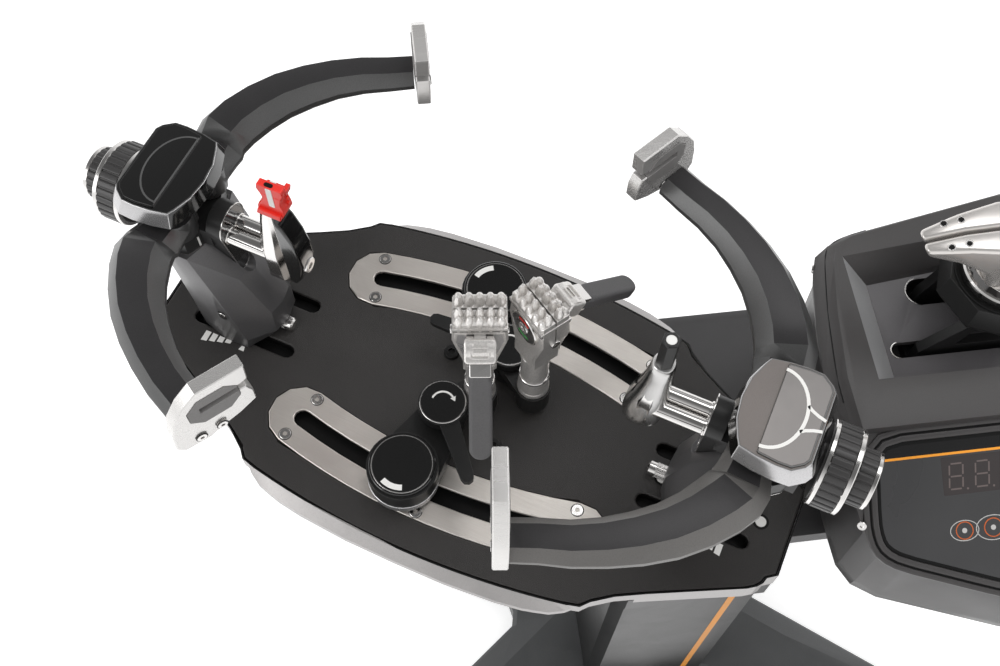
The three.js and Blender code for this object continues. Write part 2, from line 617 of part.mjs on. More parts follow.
function addKnobs(group, side) {
  const length = bigKnob.start - bigKnob.end;
  const grip = slab(ribbedOutline(bigKnob.radius, bigKnob.ribs, bigKnob.ribDepth), bigKnob.ringLength, length - bigKnob.ringLength);
  const ring = drum(bigKnob.ringRadius, 0, bigKnob.ringLength + seatGap, facets.large);
  const innerRing = drum(bigKnob.ringRadius, length - bigKnob.ringLength - seatGap, length, facets.large);
  const neckLength = hub.housingOuter - bigKnob.start - seatGap;
  const shaft = drum(bigKnob.neckRadius, length - overrun, length + neckLength, facets.small);
  const bore = drum(bigKnob.boreRadius, -overrun, smallKnob.neckLength + seatGap * 2, facets.small);
  const big = cut(join(ring, innerRing, grip, shaft), bore);
  piece(group, `arm_knob_${side}`, alongX(big).translate(bigKnob.end, 0, knobAxisZ), 'knobBlack');

  const smallLength = smallKnob.start - smallKnob.end;
  const smallGrip = slab(ribbedOutline(smallKnob.radius, smallKnob.ribs, smallKnob.ribDepth), smallKnob.ringLength, smallLength);
  const smallRing = drum(smallKnob.ringRadius, 0, smallKnob.ringLength + seatGap, facets.medium);
  const stub = drum(smallKnob.neckRadius, smallLength - overrun, smallLength + smallKnob.neckLength, facets.small);
  const small = join(smallGrip, smallRing, stub);
  piece(group, `support_knob_${side}`, alongX(small).translate(smallKnob.end, 0, knobAxisZ), 'knobBlack');
}

// Arms and the C-shaped supports at their ends
function armRing(station, previous, next) {
  const heading = Math.atan2(next.y - previous.y, next.x - previous.x);
  const across = [Math.sin(heading), -Math.cos(heading)];
  const { floorHalf, roofHalf, waistLow, waistHigh } = arm.sectionShares;
  const height = station.top - station.bottom;
  const section = [
    [floorHalf, 0], [half, waistLow], [half, waistHigh], [roofHalf, 1],
    [-roofHalf, 1], [-half, waistHigh], [-half, waistLow], [-floorHalf, 0],
  ];
  return section.map(([across_, up]) => [
    station.x + across[0] * across_ * station.width,
    station.y + across[1] * across_ * station.width,
    station.bottom + up * height,
  ]);
}

function addArm(group, name, end, opening) {
  const stations = arm.stations;
  const rings = stations.map((s, i) => armRing(s, stations[Math.max(i - 1, 0)], stations[Math.min(i + 1, stations.length - 1)]));
  const root = stations[1];
  const beam = loft(rings, ([x, , z]) => [x, z]);
  const eye = drum(arm.rootRadius, root.bottom, root.top, facets.small).translate(pivot.x, pivot.y, 0);
  const bore = drum(arm.boreRadius, 0, deckHeight, facets.small).translate(pivot.x, pivot.y, 0);
  const clearNose = block(hub.faceInner - seatGap * 2, hub.faceOuter * 2, -hub.faceOuter, hub.faceHalf + seatGap, 0, deckHeight);
  const nearSide = block(-hub.faceOuter * 2, hub.faceOuter * 2, -hub.faceOuter * 2, seatGap, 0, deckHeight);
  const armBody = cut(join(beam, eye), bore, clearNose, nearSide);

  const heading = THREE.MathUtils.degToRad(frameSupport.heading);
  const placeSupport = (geometry) => geometry.rotateZ(heading).translate(frameSupport.tipX, frameSupport.tipY, 0);
  const thick = frameSupport.thickness * half;
  const { pad } = frameSupport;
  const padOutline = (margin) => [
    [pad.start - margin, pad.bottom + pad.corner], [pad.start + pad.corner, pad.bottom - margin],
    [pad.end - pad.corner, pad.bottom - margin], [pad.end + margin, pad.bottom + pad.corner],
    [pad.end + margin, pad.top - pad.corner], [pad.end - pad.corner, pad.top + margin],
    [pad.start + pad.corner, pad.top + margin], [pad.start - margin, pad.top - pad.corner],
  ];
  const frame = cut(
    slabXZ(frameSupport.outline, -thick, thick, { bevel: frameSupport.bevel }),
    slabXZ(padOutline(seatGap), -thick - overrun, thick + overrun),
  );
  const padBody = cut(
    slabXZ(padOutline(0), -thick - pad.proud, thick + pad.proud),
    block(0, pad.end - pad.corner, -thick - overrun, thick + overrun, pad.slotFloor, pad.slotTop),
  );
  const pieces = [
    [`arm_${name}`, armBody, 'armDark'], [`frame_support_${name}`, placeSupport(frame), 'aluminium'],
    [`frame_pad_${name}`, placeSupport(padBody), 'padGrey'],
  ];
  const swing = new THREE.Group();
  swing.position.set(pivot.x, end * pivot.y, 0);
  swing.rotation.z = end * opening;
  group.add(swing);
  for (const [pieceName, geometry, finishName] of pieces) {
    const side = end > 0 ? geometry : geometry.scale(1, -1, 1);
    piece(swing, pieceName, side.translate(-pivot.x, -end * pivot.y, 0), finishName);
  }
}

// Inner supports on the rods
function chamferedRing({ z, start, end, halfWidth }, cornerShare) {
  const corner = Math.min(end - start, halfWidth * 2) * cornerShare;
  return [
    [start + corner, -halfWidth, z], [end - corner, -halfWidth, z], [end, -halfWidth + corner, z],
    [end, halfWidth - corner, z], [end - corner, halfWidth, z], [start + corner, halfWidth, z],
    [start, halfWidth - corner, z], [start, -halfWidth + corner, z],
  ];
}

function addInnerSupport(group, side, blockSizes) {
  const bodyBlock = loft(blockSizes.rings.map((ring) => chamferedRing(ring, blockSizes.cornerShare)));
  const blockMiddle = (blockSizes.rings[1].start + blockSizes.rings[1].end) * half;
  const twin = [-1, 1].map((s) => alongX(drum(rods.radius, rods.tail, blockMiddle, facets.small))
    .translate(0, s * rods.spread, rods.z));
  const screw = alongX(drum(rods.screwRadius, rods.tail, blockMiddle, facets.tiny)).translate(0, 0, rods.screwZ);
  piece(group, `inner_support_${side}`, join(bodyBlock, ...twin, screw), 'chrome');
}

function addAdapter(group) {
  const { start, end, halfWidth, throatDepth, throatHalf } = adapter;
  const throat = [
    [start, -halfWidth], [end - throatDepth, -halfWidth], [end, -halfWidth * 0.75], [end - throatDepth * 0.6, -throatHalf],
    [end - throatDepth * 0.6, throatHalf], [end, halfWidth * 0.75], [end - throatDepth, halfWidth], [start, halfWidth],
  ];
  const body = slab(throat, adapter.bottom, adapter.top);
  const waist = block(start - overrun, start + adapter.ledge, -halfWidth * 2, halfWidth * 2, adapter.ledgeTop, adapter.top - adapter.ledge * 2);
  const hole = drum(adapter.holeRadius, adapter.ledgeTop, adapter.top + overrun, facets.small).translate(adapter.holeX, 0, 0);
  piece(group, 'throat_adapter', cut(body, waist, hole), 'adapterRed');
}

function addPeg(group) {
  const radius = (peg.acrossFlats * half) / Math.cos(Math.PI / peg.corners);
  const body = drum(radius, peg.bottom, peg.top, peg.corners);
  const socket = drum(peg.socketRadius, peg.top - peg.socketDepth, peg.top + overrun, facets.small);
  piece(group, 'head_peg', cut(body, socket).translate(peg.x, 0, 0), 'clampBlack');
}

// String clamps
function addClamp(group, name, places) {
  const [sx, sy] = places.shoe;
  const [dx, dy] = places.disc;
  const [px, py] = places.post;
  const nutTop = -deck.thickness - seatGap;
  const shoeBody = join(
    drum(shoe.studRadius, nutTop - shoe.nutThickness * half, clampBase.bottom + shoe.studTop, facets.small),
    drum(shoe.nutRadius, nutTop - shoe.nutThickness, nutTop, 6),
    drum(shoe.flangeRadius, rail.rise + seatGap, shoe.flangeTop, facets.medium),
  );
  piece(group, `clamp_shoe_${name}`, shoeBody.translate(sx, sy, 0), 'steel');

  const baseBody = cut(
    join(
      slab(roundedBar(places.shoe, places.disc, clampBase.capRadius, clampBase.discRadius, facets.tiny), clampBase.bottom, clampBase.discSeat),
      turned([
        [0, clampBase.discSeat * half], [clampBase.capRadius, clampBase.discSeat * half], [clampBase.capRadius, clampBase.top],
        [clampBase.capRadius - clampBase.capInset, clampBase.top], [clampBase.capRadius - clampBase.capInset, clampBase.capTop],
        [0, clampBase.capTop],
      ]).translate(sx, sy, 0),
      drum(clampBase.discAxleRadius, clampBase.bottom + overrun, clampBase.discAxleTop, facets.small).translate(dx, dy, 0),
    ),
    drum(shoe.studRadius + slideGap, 0, clampBase.bottom + shoe.studTop + seatGap, facets.small).translate(sx, sy, 0),
  );
  piece(group, `clamp_base_${name}`, baseBody, 'clampBlack');

  const linkBar = roundedBar(places.disc, places.post, link.discRadius, link.postRadius, facets.tiny);
  const linkBody = cut(
    join(slab(linkBar, link.bottom, link.top), drum(link.footRadius, link.footBottom, link.footTop, facets.medium).translate(px, py, 0)),
    drum(link.bore, 0, deckHeight, facets.small).translate(dx, dy, 0),
    drum(link.boreAtPost, post.bottom - seatGap, deckHeight, facets.small).translate(px, py, 0),
  );
  piece(group, `clamp_link_${name}`, linkBody, 'clampBlack');

  const leverTurn = THREE.MathUtils.degToRad(places.leverTurn);
  const tip = [dx + lever.length * Math.cos(leverTurn), dy + lever.length * Math.sin(leverTurn)];
  const leverBody = cut(
    join(
      drum(lever.discRadius, lever.bottom, lever.top, facets.large).translate(dx, dy, 0),
      slab(roundedBar(places.disc, tip, lever.rootHalf, lever.tipHalf, 4), lever.armBottom, lever.armTop),
    ),
    drum(lever.bore, 0, clampBase.discAxleTop + seatGap, facets.small).translate(dx, dy, 0),
  );
  piece(group, `clamp_lever_${name}`, leverBody, 'clampBlack');

  const postBody = turned([
    [0, post.bottom], [post.spigotRadius, post.bottom], [post.spigotRadius, post.shoulder], [post.footRadius, post.shoulder],
    [post.footRadius, post.waistZ], [post.waistRadius, post.waistZ + overrun], [post.topRadius, post.top], [0, post.top],
  ], facets.medium);
  piece(group, `clamp_post_${name}`, postBody.translate(px, py, 0), 'clampSilver');

  const headGroup = new THREE.Group();
  headGroup.position.set(px, py, 0);
  headGroup.rotation.z = THREE.MathUtils.degToRad(places.teethTurn);
  group.add(headGroup);
  piece(headGroup, `clamp_head_${name}`, clampHead(), 'clampSilver');
  piece(headGroup, `clamp_handle_${name}`, clampHandle(), 'gripGrey');
}

// The toothed head, with the post's axis at the origin and the teeth along x
function clampHead() {
  const front = [
    [-head.neckHalf, head.bottom], [head.neckHalf, head.bottom], [head.neckHalf, head.neckTop],
    [head.shoulderHalf, head.shoulder], [head.jawHalf, head.top], [-head.jawHalf, head.top],
    [-head.shoulderHalf, head.shoulder], [-head.neckHalf, head.neckTop],
  ];
  const body = slabXZ(front, -head.depthHalf, head.depthHalf, { bevel: head.bevel });
  const teeth = [];
  for (let i = 0; i < head.teeth; i += 1) {
    for (const row of [-1, 1]) {
      const x = (i - (head.teeth - 1) * half) * head.pitch;
      const tooth = turned([
        [0, head.top - overrun], [head.toothRadius, head.top - overrun], [head.toothRadius, head.top + head.toothHeight * 0.35],
        [head.toothTipRadius, head.top + head.toothHeight], [0, head.top + head.toothHeight],
      ], 5);
      teeth.push(tooth.translate(x, row * head.toothRow, 0));
    }
  }
  const gap = block(-head.shoulderHalf * 2, head.shoulderHalf * 2, -head.jawGap * half, head.jawGap * half,
    head.gapBottom, deckHeight);
  const lug = slabYZ(
    roundedBar([overrun - head.depthHalf, head.lugZ], [head.hingeY, head.lugZ], head.lugRadius, head.lugRadius, facets.tiny),
    -head.lugHalf, head.lugHalf,
  );
  const pin = alongX(drum(head.pinRadius, -head.pinHalf, head.pinHalf, facets.tiny)).translate(0, head.hingeY, head.lugZ);
  return join(cut(join(body, ...teeth), gap), lug, pin);
}

// The handle's fork turns on the pin of the head's lug, and its grip slopes down from there
function clampHandle() {
  const root = alongX(drum(handle.rootRadius, -handle.rootHalf, handle.rootHalf, facets.medium));
  const section = roundedBar([0, 0], [handle.reach, 0], handle.gripHalf, handle.gripHalf, 6);
  const thick = handle.gripThickness * half;
  const grip = slab(section, -thick, thick, { bevel: handle.gripBevel }).rotateZ(-Math.PI * half)
    .rotateX(THREE.MathUtils.degToRad(handle.slope));
  const lugHalf = head.lugHalf + slideGap;
  const lugSpace = head.lugRadius + slideGap;
  const fork = block(-lugHalf, lugHalf, -lugSpace, handle.rootRadius * 2, -handle.rootRadius * 2, handle.rootRadius * 2);
  const eye = alongX(drum(lugSpace, -lugHalf, lugHalf, facets.small));
  const pinBore = alongX(drum(head.pinRadius + slideGap, -handle.rootHalf - overrun, handle.rootHalf + overrun, facets.tiny));
  return cut(join(root, grip), fork, eye, pinBore).translate(0, head.hingeY, head.lugZ);
}

// Upright ribs that part a hollow into pockets no longer or wider than the spacing
function ribsAcross([left, right], [front, rear], bottom, top, spacing, width) {
  const places = (from, to) => {
    const bays = Math.ceil((to - from) / spacing);
    return Array.from({ length: bays - 1 }, (_, i) => from + ((to - from) * (i + 1)) / bays);
  };
  const thin = width * half;
  return [
    ...places(left, right).map((x) => block(x - thin, x + thin, front, rear, bottom, top)),
    ...places(front, rear).map((y) => block(left, right, y - thin, y + thin, bottom, top)),
  ];
}

// Neck beam with the turntable's bearing
function addNeck(group) {
  const profile = [
    [-neck.topHalf, neck.top], [-neck.sideHalf, neck.top - neck.shoulder], [-neck.sideHalf, neck.top - neck.sideDrop],
    [-neck.floorHalf, neck.floor], [neck.floorHalf, neck.floor], [neck.sideHalf, neck.top - neck.sideDrop],
    [neck.sideHalf, neck.top - neck.shoulder], [neck.topHalf, neck.top],
  ];
  const beam = slabYZ(profile, neck.left, neck.right);
  const noseStart = neck.left + neck.sideHalf * neck.noseShare;
  const plan = slab([
    ...arcPoints(noseStart, 0, neck.sideHalf * neck.noseShare, Math.PI * half, Math.PI * 1.5, 12)
      .map(([x, y]) => [x, y / neck.noseShare]),
    [neck.right, -neck.sideHalf - overrun], [neck.right, neck.sideHalf + overrun],
  ], neck.floor - overrun, neck.top + overrun);
  const hubBottom = -casting.depth - casting.hubDepth;
  const bearing = turned([
    [0, neck.floor + overrun], [neck.bearingBaseRadius, neck.floor + overrun], [neck.bearingBaseRadius, neck.top],
    [neck.bearingRadius, neck.top + neck.bearingBase], [neck.bearingRadius, hubBottom - seatGap],
    [neck.spindleRadius, hubBottom - seatGap], [neck.spindleRadius, neck.spindleTop], [0, neck.spindleTop],
  ]);
  // Two pockets under the beam, before and behind the mast
  const inner = neck.pocketWall;
  const pocketProfile = [
    [-neck.floorHalf + inner, neck.floor - overrun], [neck.floorHalf - inner, neck.floor - overrun],
    [neck.sideHalf - inner * 2, neck.top - neck.sideDrop], [neck.topHalf - inner * 2, neck.top - inner],
    [inner * 2 - neck.topHalf, neck.top - inner], [inner * 2 - neck.sideHalf, neck.top - neck.sideDrop],
  ];
  const mastReach = mast.length * half + inner;
  const pockets = [
    [neck.bearingBaseRadius + inner, column.x - mastReach], [column.x + mastReach, neck.right - inner],
  ].map(([from, to]) => cut(
    slabYZ(pocketProfile, from, to),
    ...ribsAcross([from, to], [-neck.sideHalf, neck.sideHalf], neck.floor - overrun * 2, neck.top, neck.ribSpacing, neck.ribWidth),
  ));
  piece(group, 'neck_beam', cut(join(common(beam, plan), bearing), ...pockets), 'neckBlack');
}

// Column, mast and lock lever
function chamferedPlan(length, width, chamfer) {
  const [l, w] = [length * half, width * half];
  return [
    [-l + chamfer, -w], [l - chamfer, -w], [l, -w + chamfer], [l, w - chamfer],
    [l - chamfer, w], [-l + chamfer, w], [-l, w - chamfer], [-l, -w + chamfer],
  ];
}

function addColumn(group) {
  const { length, width, chamfer, wall } = column;
  const grown = (by) => chamferedPlan(length + 2 * by, width + 2 * by, chamfer + by * half);
  const tube = slab(grown(0), column.bottom, column.top);
  const collar = slab(grown(column.collarProud), column.top - column.collarHeight, column.top, { bevel: 2 });
  const inside = slab(grown(-wall), column.bottom - overrun, column.top - column.collarHeight);
  const mouth = slab(
    chamferedPlan(mast.length + 2 * slideGap, mast.width + 2 * slideGap, mast.chamfer), 0, column.top + overrun,
  );
  const boltHole = drum(lockLever.boltRadius + slideGap, -column.width, 0, facets.small).rotateX(Math.PI * half)
    .translate(0, 0, lockLever.z);
  piece(group, 'outer_column', cut(join(tube, collar), inside, mouth, boltHole), 'columnGrey');

  const mastTop = deckHeight + neck.floor - seatGap;
  const guide = chamferedPlan(
    length - 2 * wall - 2 * slideGap, width - 2 * wall - 2 * slideGap, chamfer - wall * half,
  );
  const solidMast = join(
    slab(chamferedPlan(mast.length, mast.width, mast.chamfer), mast.bottom, mastTop),
    slab(guide, mast.bottom, mast.bottom + mast.guideHeight),
  );
  const mastBore = slab(
    chamferedPlan(mast.length - 2 * mast.wall, mast.width - 2 * mast.wall, mast.chamfer * half),
    mast.bottom - overrun, mastTop - mast.capThickness,
  );
  const mastBody = cut(solidMast, mastBore);
  piece(group, 'inner_mast', mastBody, 'columnGrey');

  const face = column.width * half + column.collarProud;
  const bolt = drum(lockLever.boltRadius, mast.width * half + seatGap, face + lockLever.bossLength * half, facets.small);
  const boss = drum(lockLever.bossRadius, face + seatGap, face + lockLever.bossLength, facets.medium);
  const bar = turned([
    [0, 0], [lockLever.gripRadius, 0], [lockLever.gripRadius, lockLever.gripLength - lockLever.tipRadius],
    [lockLever.tipRadius, lockLever.gripLength], [lockLever.gripRadius, lockLever.gripLength + lockLever.gripRadius],
    [0, lockLever.gripLength + lockLever.tipRadius],
  ], facets.small).rotateY(Math.PI * half);
  const standing = join(bolt, boss).rotateX(-Math.PI * half);
  const leverBody = join(standing, bar.translate(0, face + lockLever.tipRadius + slideGap, 0));
  piece(group, 'height_lock_lever', leverBody.translate(0, 0, lockLever.z), 'clampBlack');
}

// Base casting and feet
function addBase(group) {
  const quarter = scaled(baseOutlineShares, base.legReach, base.legDepth);
  const outline = fromQuarter(quarter);
  const skirt = slab(outline, base.bottom, base.shoulderTop, { bevel: base.bevel * 0.3 });
  const upper = loft([
    ringAt(drawnIn(outline, base.bevel), base.skirtTop),
    ringAt(drawnIn(outline, base.bevel), base.shoulderTop),
    ringAt(scaled(outline, 0.62, 0.62), base.domeTop - seatGap),
  ]);
  const notchX = base.legReach * 0.645;
  const notchY = -base.legDepth * 0.225;
  const notch = block(-base.notchLength * half, base.notchLength * half, -base.notchDepth, base.notchDepth, 0, base.domeTop)
    .rotateZ(-Math.PI * 0.23).translate(notchX, notchY, 0);
  // The casting is hollow underneath, but for its leg ends over the feet
  const hollowShell = loft([
    ringAt(scaled(outline, base.hollowShare, base.hollowShare), base.bottom - overrun),
    ringAt(scaled(outline, base.hollowShare, base.hollowShare), base.skirtTop),
    ringAt(scaled(outline, base.hollowTopShare, base.hollowTopShare), base.domeTop - base.wall),
  ]);
  const ribs = ribsAcross(
    [-base.legReach, base.legReach], [-base.legDepth, base.legDepth], 0, base.domeTop, base.ribSpacing, base.ribWidth,
  );
  const hollow = cut(hollowShell, ...ribs);
  const body = cut(join(skirt, upper), notch, hollow).translate(0, base.centreY, 0);
  piece(group, 'base_casting', body, 'baseGrey');
  let number = 1;
  for (const [sx, sy] of [[-1, -1], [1, -1], [1, 1], [-1, 1]]) {
    const x = sx * (base.legReach - base.footInset);
    const y = base.centreY + sy * (base.legDepth - base.footInset * 1.4);
    const foot = turned([
      [0, 0], [base.footRadius, 0], [base.footRadius - 3, base.bottom - seatGap], [0, base.bottom - seatGap],
    ], facets.small);
    piece(group, `foot_${number}`, foot.translate(x, y, 0), 'rubber');
    number += 1;
  }
}

// Tension head
function consoleOutline(inset, leftInset) {
  const length = console_.right - console_.left;
  const width = console_.rear - console_.front;
  const middle = [(console_.left + console_.right) * half, (console_.front + console_.rear) * half];
  return consoleShares.map(([a, b]) => {
    const [x, y] = inHead([a, b]);
    const nearLeft = Math.max(0, 1 - a / consoleLeftShare) * leftInset;
    return [
      middle[0] + (x - middle[0]) * (1 - inset / length) + nearLeft,
      middle[1] + (y - middle[1]) * (1 - (2 * inset) / width),
    ];
  });
}

function slopePlate(above, below) {
  const { hingeY, hingeZ, drop, lowY } = panelSlope;
  const lowZ = hingeZ - (hingeY - lowY) * drop;
  return slabYZ([
    [lowY, lowZ - below], [hingeY, hingeZ - below], [hingeY, hingeZ + above], [lowY, lowZ + above],
  ], console_.left - overrun, console_.right + overrun);
}

function addTensionHead(group) {
  const rings = consoleRings.map(({ z, inset, leftInset }) => ringAt(consoleOutline(inset, leftInset), z));
  const shell = loft(rings);
  const aboveSlope = slopePlate(console_.right, 0);
  const panelSeat = common(
    slab(grownFrom(panel.outline, panel.gap), -deckHeight, deckHeight),
    slopePlate(overrun, panel.thickness - panel.proud + seatGap),
  );
  const [flareX, flareY] = trough.flare;
  const troughTop = trough.floor.map(([x, y], i) => [
    x + (i === 0 || i === 3 ? -flareX : flareX * half), y + (i < 2 ? -flareY * half : flareY),
  ]);
  const rise = (trough.topZ + overrun - trough.floorZ) / (trough.topZ - trough.floorZ);
  const beyond = troughTop.map(([x, y], i) => [
    trough.floor[i][0] + (x - trough.floor[i][0]) * rise, trough.floor[i][1] + (y - trough.floor[i][1]) * rise,
  ]);
  const troughCut = loft([ringAt(trough.floor, trough.floorZ), ringAt(beyond, trough.topZ + overrun)]);
  const slotCut = (y, start, radius) => slab(
    roundedBar([start + radius, y], [slots.end - radius, y], radius, radius, 6), cavity.top - overrun, trough.floorZ + overrun,
  );
  const hollow = block(cavity.left, cavity.right, -cavity.halfWidth, cavity.halfWidth, cavity.bottom, cavity.top);
  const rearFace = console_.rear;
  const switchHole = block(
    switchSeat.x - switchSeat.halfLength, switchSeat.x + switchSeat.halfLength, rearFace - switchSeat.depth * 2, rearFace + overrun,
    switchSeat.z - switchSeat.halfHeight, switchSeat.z + switchSeat.halfHeight,
  );
  const body = cut(
    shell, aboveSlope, panelSeat, troughCut, slotCut(slots.frontY, slots.frontStart, slots.frontHalf),
    slotCut(slots.rearY, slots.rearStart, slots.rearHalf), hollow, switchHole,
  );
  piece(group, 'console_body', body, 'consoleGrey');

  const glass = common(slab(panel.outline, -deckHeight, deckHeight), slopePlate(panel.proud, panel.thickness - panel.proud));
  piece(group, 'console_panel', glass, 'glassBlack');

  const seatFloor = rearFace - switchSeat.depth * 2;
  const rockerBody = slabYZ([
    [seatFloor + seatGap, -rocker.pivotRadius * half], [seatFloor + seatGap, rocker.pivotRadius * half],
    [rearFace - rocker.thickness, switchSeat.halfHeight - 1.5], [rearFace - rocker.proud, switchSeat.halfHeight - 1.5],
    [rearFace - rocker.proud * 2, 0], [rearFace - rocker.proud, 1.5 - switchSeat.halfHeight],
    [rearFace - rocker.thickness, 1.5 - switchSeat.halfHeight],
  ].reverse(), switchSeat.x - switchSeat.halfLength + 1, switchSeat.x + switchSeat.halfLength - 1);
  piece(group, 'power_switch', rockerBody.translate(0, 0, switchSeat.z), 'clampBlack');
}

// Moves each corner of a convex outline away from its middle
function grownFrom(outline, by) {
  const middle = outline.reduce(([mx, my], [x, y]) => [mx + x / outline.length, my + y / outline.length], [0, 0]);
  return outline.map(([x, y]) => {
    const distance = Math.hypot(x - middle[0], y - middle[1]);
    return [x + ((x - middle[0]) * by * 2) / distance, y + ((y - middle[1]) * by * 2) / distance];
  });
}

function addCarriage(group) {
  const { left, right, topLeft, topRight, windowInset, footZ, slotZ, topZ } = carriage;
  const outline = (from) => [
    [from, footZ], [right, footZ], [right, slotZ], [topRight, topZ], [topLeft, topZ], [from, slotZ],
  ];
  const window_ = [
    [left + windowInset * 2, slotZ + windowInset * half], [right - windowInset * 2, slotZ + windowInset * half],
    [topRight - windowInset * half, topZ - windowInset * 0.7], [topLeft + windowInset * half, topZ - windowInset * 0.7],
  ].reverse();
  const plates = [[slots.frontY, left], [slots.rearY, carriage.rearLeft]].map(([y, from]) => slabXZ(
    outline(from), y - carriage.plateHalf, y + carriage.plateHalf, { holes: [window_] },
  ));
  const foot = block(left, right, -carriage.bridgeHalf, carriage.bridgeHalf, footZ, carriage.bridgeTop);
  const deckPlate = block(topLeft, topRight, slots.frontY - carriage.plateHalf, slots.rearY + carriage.plateHalf,
    topZ - windowInset * half, topZ);
  piece(group, 'carriage_frame', join(...plates, foot, deckPlate), 'clampBlack');

  const { x, radius, shoulder, ringRadius, ringTop, sides } = housing;
  const body = turned([
    [0, housing.bottom], [radius * 0.86, housing.bottom], [radius, shoulder], [radius * 0.9, housing.top], [0, housing.top],
  ], sides);
  const ring = drum(ringRadius, housing.top - overrun, ringTop);
  piece(group, 'gripper_housing', join(body, ring).translate(x, 0, 0), 'clampBlack');

  for (const [name, side] of [['gripper_jaw_front', -1], ['gripper_jaw_rear', 1]]) {
    piece(group, name, gripperJaw(side), 'chrome');
  }
}

// One half of the gripper: a beak that overhangs towards the turntable, split along the string's path
function gripperJaw(side) {
  const { tip, tail, bottom, throatZ, top, halfWidth, tipHalf, beakHalf, jawGap } = gripper;
  const length = tail - tip;
  const sideView = [
    [tip, top - 5], [tip + length * 0.03, top - 12], [tip + length * 0.18, throatZ + 12], [tip + length * 0.35, throatZ],
    [tip + length * 0.38, bottom], [tip + length * 0.82, bottom], [tip + length * 0.86, throatZ], [tail, throatZ + 10],
    [tail, top - 9], [tip + length * 0.75, top], [tip + length * 0.45, top + 4], [tip + length * 0.2, top + 2],
  ];
  const planView = [
    [tip, 0], [tip, tipHalf], [tip + length * 0.15, beakHalf], [tip + length * 0.4, halfWidth],
    [tip + length * 0.8, halfWidth], [tail, tipHalf], [tail, 0],
  ];
  const outside = common(
    slabXZ(sideView, -halfWidth * 2, halfWidth * 2), slab(mirroredHalf(planView), bottom - overrun, top + overrun * 2),
  );
  const keep = side > 0
    ? block(tip - overrun, tail + overrun, jawGap * half, halfWidth * 2, 0, deckHeight)
    : block(tip - overrun, tail + overrun, -halfWidth * 2, -jawGap * half, 0, deckHeight);
  return common(outside, keep);
}

// The whole machine
function buildMachine() {
  const machine = new THREE.Group();
  const upper = new THREE.Group();
  upper.position.z = deckHeight;
  machine.add(upper);

  const turntable = new THREE.Group();
  turntable.rotation.z = turntableRest;
  upper.add(turntable);
  addTurntable(turntable);

  const leftTower = new THREE.Group();
  leftTower.position.x = -tower.leftReach;
  const rightTower = new THREE.Group();
  rightTower.position.x = tower.rightReach;
  rightTower.rotation.z = Math.PI;
  turntable.add(leftTower, rightTower);
  for (const [towerGroup, side] of [[leftTower, 'left'], [rightTower, 'right']]) {
    addTower(towerGroup, side);
    addKnobs(towerGroup, side);
  }
  addArm(leftTower, 'left_front', -1, leftArmOpening);
  addArm(leftTower, 'left_rear', 1, leftArmOpening);
  addArm(rightTower, 'right_front', 1, 0);
  addArm(rightTower, 'right_rear', -1, 0);
  addInnerSupport(leftTower, 'left', leftBlock);
  addAdapter(leftTower);
  addInnerSupport(rightTower, 'right', rightBlock);
  addPeg(rightTower);
  addClamp(turntable, 'front', frontClamp);
  addClamp(turntable, 'rear', rearClamp);

  addNeck(upper);
  addTensionHead(upper);
  addCarriage(upper);

  const stand = new THREE.Group();
  stand.position.x = column.x;
  machine.add(stand);
  addColumn(stand);
  addBase(stand);

  const box = new THREE.Box3().setFromObject(machine, true);
  const middle = box.getCenter(new THREE.Vector3());
  machine.position.set(-middle.x, -middle.y, -box.min.z);
  return machine;
}

const machine = buildMachine();

export default machine;
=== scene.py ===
# Looks of a racket stringing machine: dressed copies of the CAD solids, the small trim between them,
# their finishes, a studio and the photograph's camera. Lengths in the tables below are millimetres.
import json
import math

import bpy
from mathutils import Matrix, Vector


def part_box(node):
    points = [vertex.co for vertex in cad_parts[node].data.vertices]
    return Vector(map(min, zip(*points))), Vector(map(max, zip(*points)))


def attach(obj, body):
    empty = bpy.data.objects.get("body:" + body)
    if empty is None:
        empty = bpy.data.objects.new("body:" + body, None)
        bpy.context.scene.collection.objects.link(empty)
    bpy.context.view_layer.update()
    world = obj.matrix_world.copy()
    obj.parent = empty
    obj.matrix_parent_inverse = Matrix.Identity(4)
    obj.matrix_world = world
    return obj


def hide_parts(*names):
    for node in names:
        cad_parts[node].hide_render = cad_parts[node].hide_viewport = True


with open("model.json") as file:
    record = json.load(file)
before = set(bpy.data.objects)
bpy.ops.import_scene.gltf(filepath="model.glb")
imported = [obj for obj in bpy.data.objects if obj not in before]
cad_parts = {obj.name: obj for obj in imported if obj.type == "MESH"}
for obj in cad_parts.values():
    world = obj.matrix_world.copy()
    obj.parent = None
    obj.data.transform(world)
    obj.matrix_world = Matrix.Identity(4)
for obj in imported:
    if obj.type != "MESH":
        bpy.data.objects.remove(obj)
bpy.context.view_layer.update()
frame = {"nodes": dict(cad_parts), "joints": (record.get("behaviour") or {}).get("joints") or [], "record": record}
nodes = frame["nodes"]
joints = {joint["name"]: joint for joint in frame["joints"]}

MM = 0.001
UP = Vector((0, 0, 1))


# Places taken from the frame
def local_frame(origin, toward):
    """Matrix from millimetres about a point, with x towards a direction and z up, to the row frame."""
    x = Vector(toward).normalized()
    y = UP.cross(x)
    turn = Matrix((x, y, UP)).transposed().to_4x4()
    return Matrix.Translation(Vector(origin)) @ turn @ Matrix.Scale(MM, 4)


deck_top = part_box("turntable_deck")[1].z
axis_x, axis_y = joints["turntable_spin"]["pos_m"][:2]
table_place = local_frame((axis_x, axis_y, deck_top), joints["tower_left_slide"]["axis"])
machine_place = local_frame((axis_x, axis_y, deck_top), (1, 0, 0))


def tower_place(side):
    joint = joints[f"knob_{side}_turn"]
    return local_frame((joint["pos_m"][0], joint["pos_m"][1], deck_top), joint["axis"])


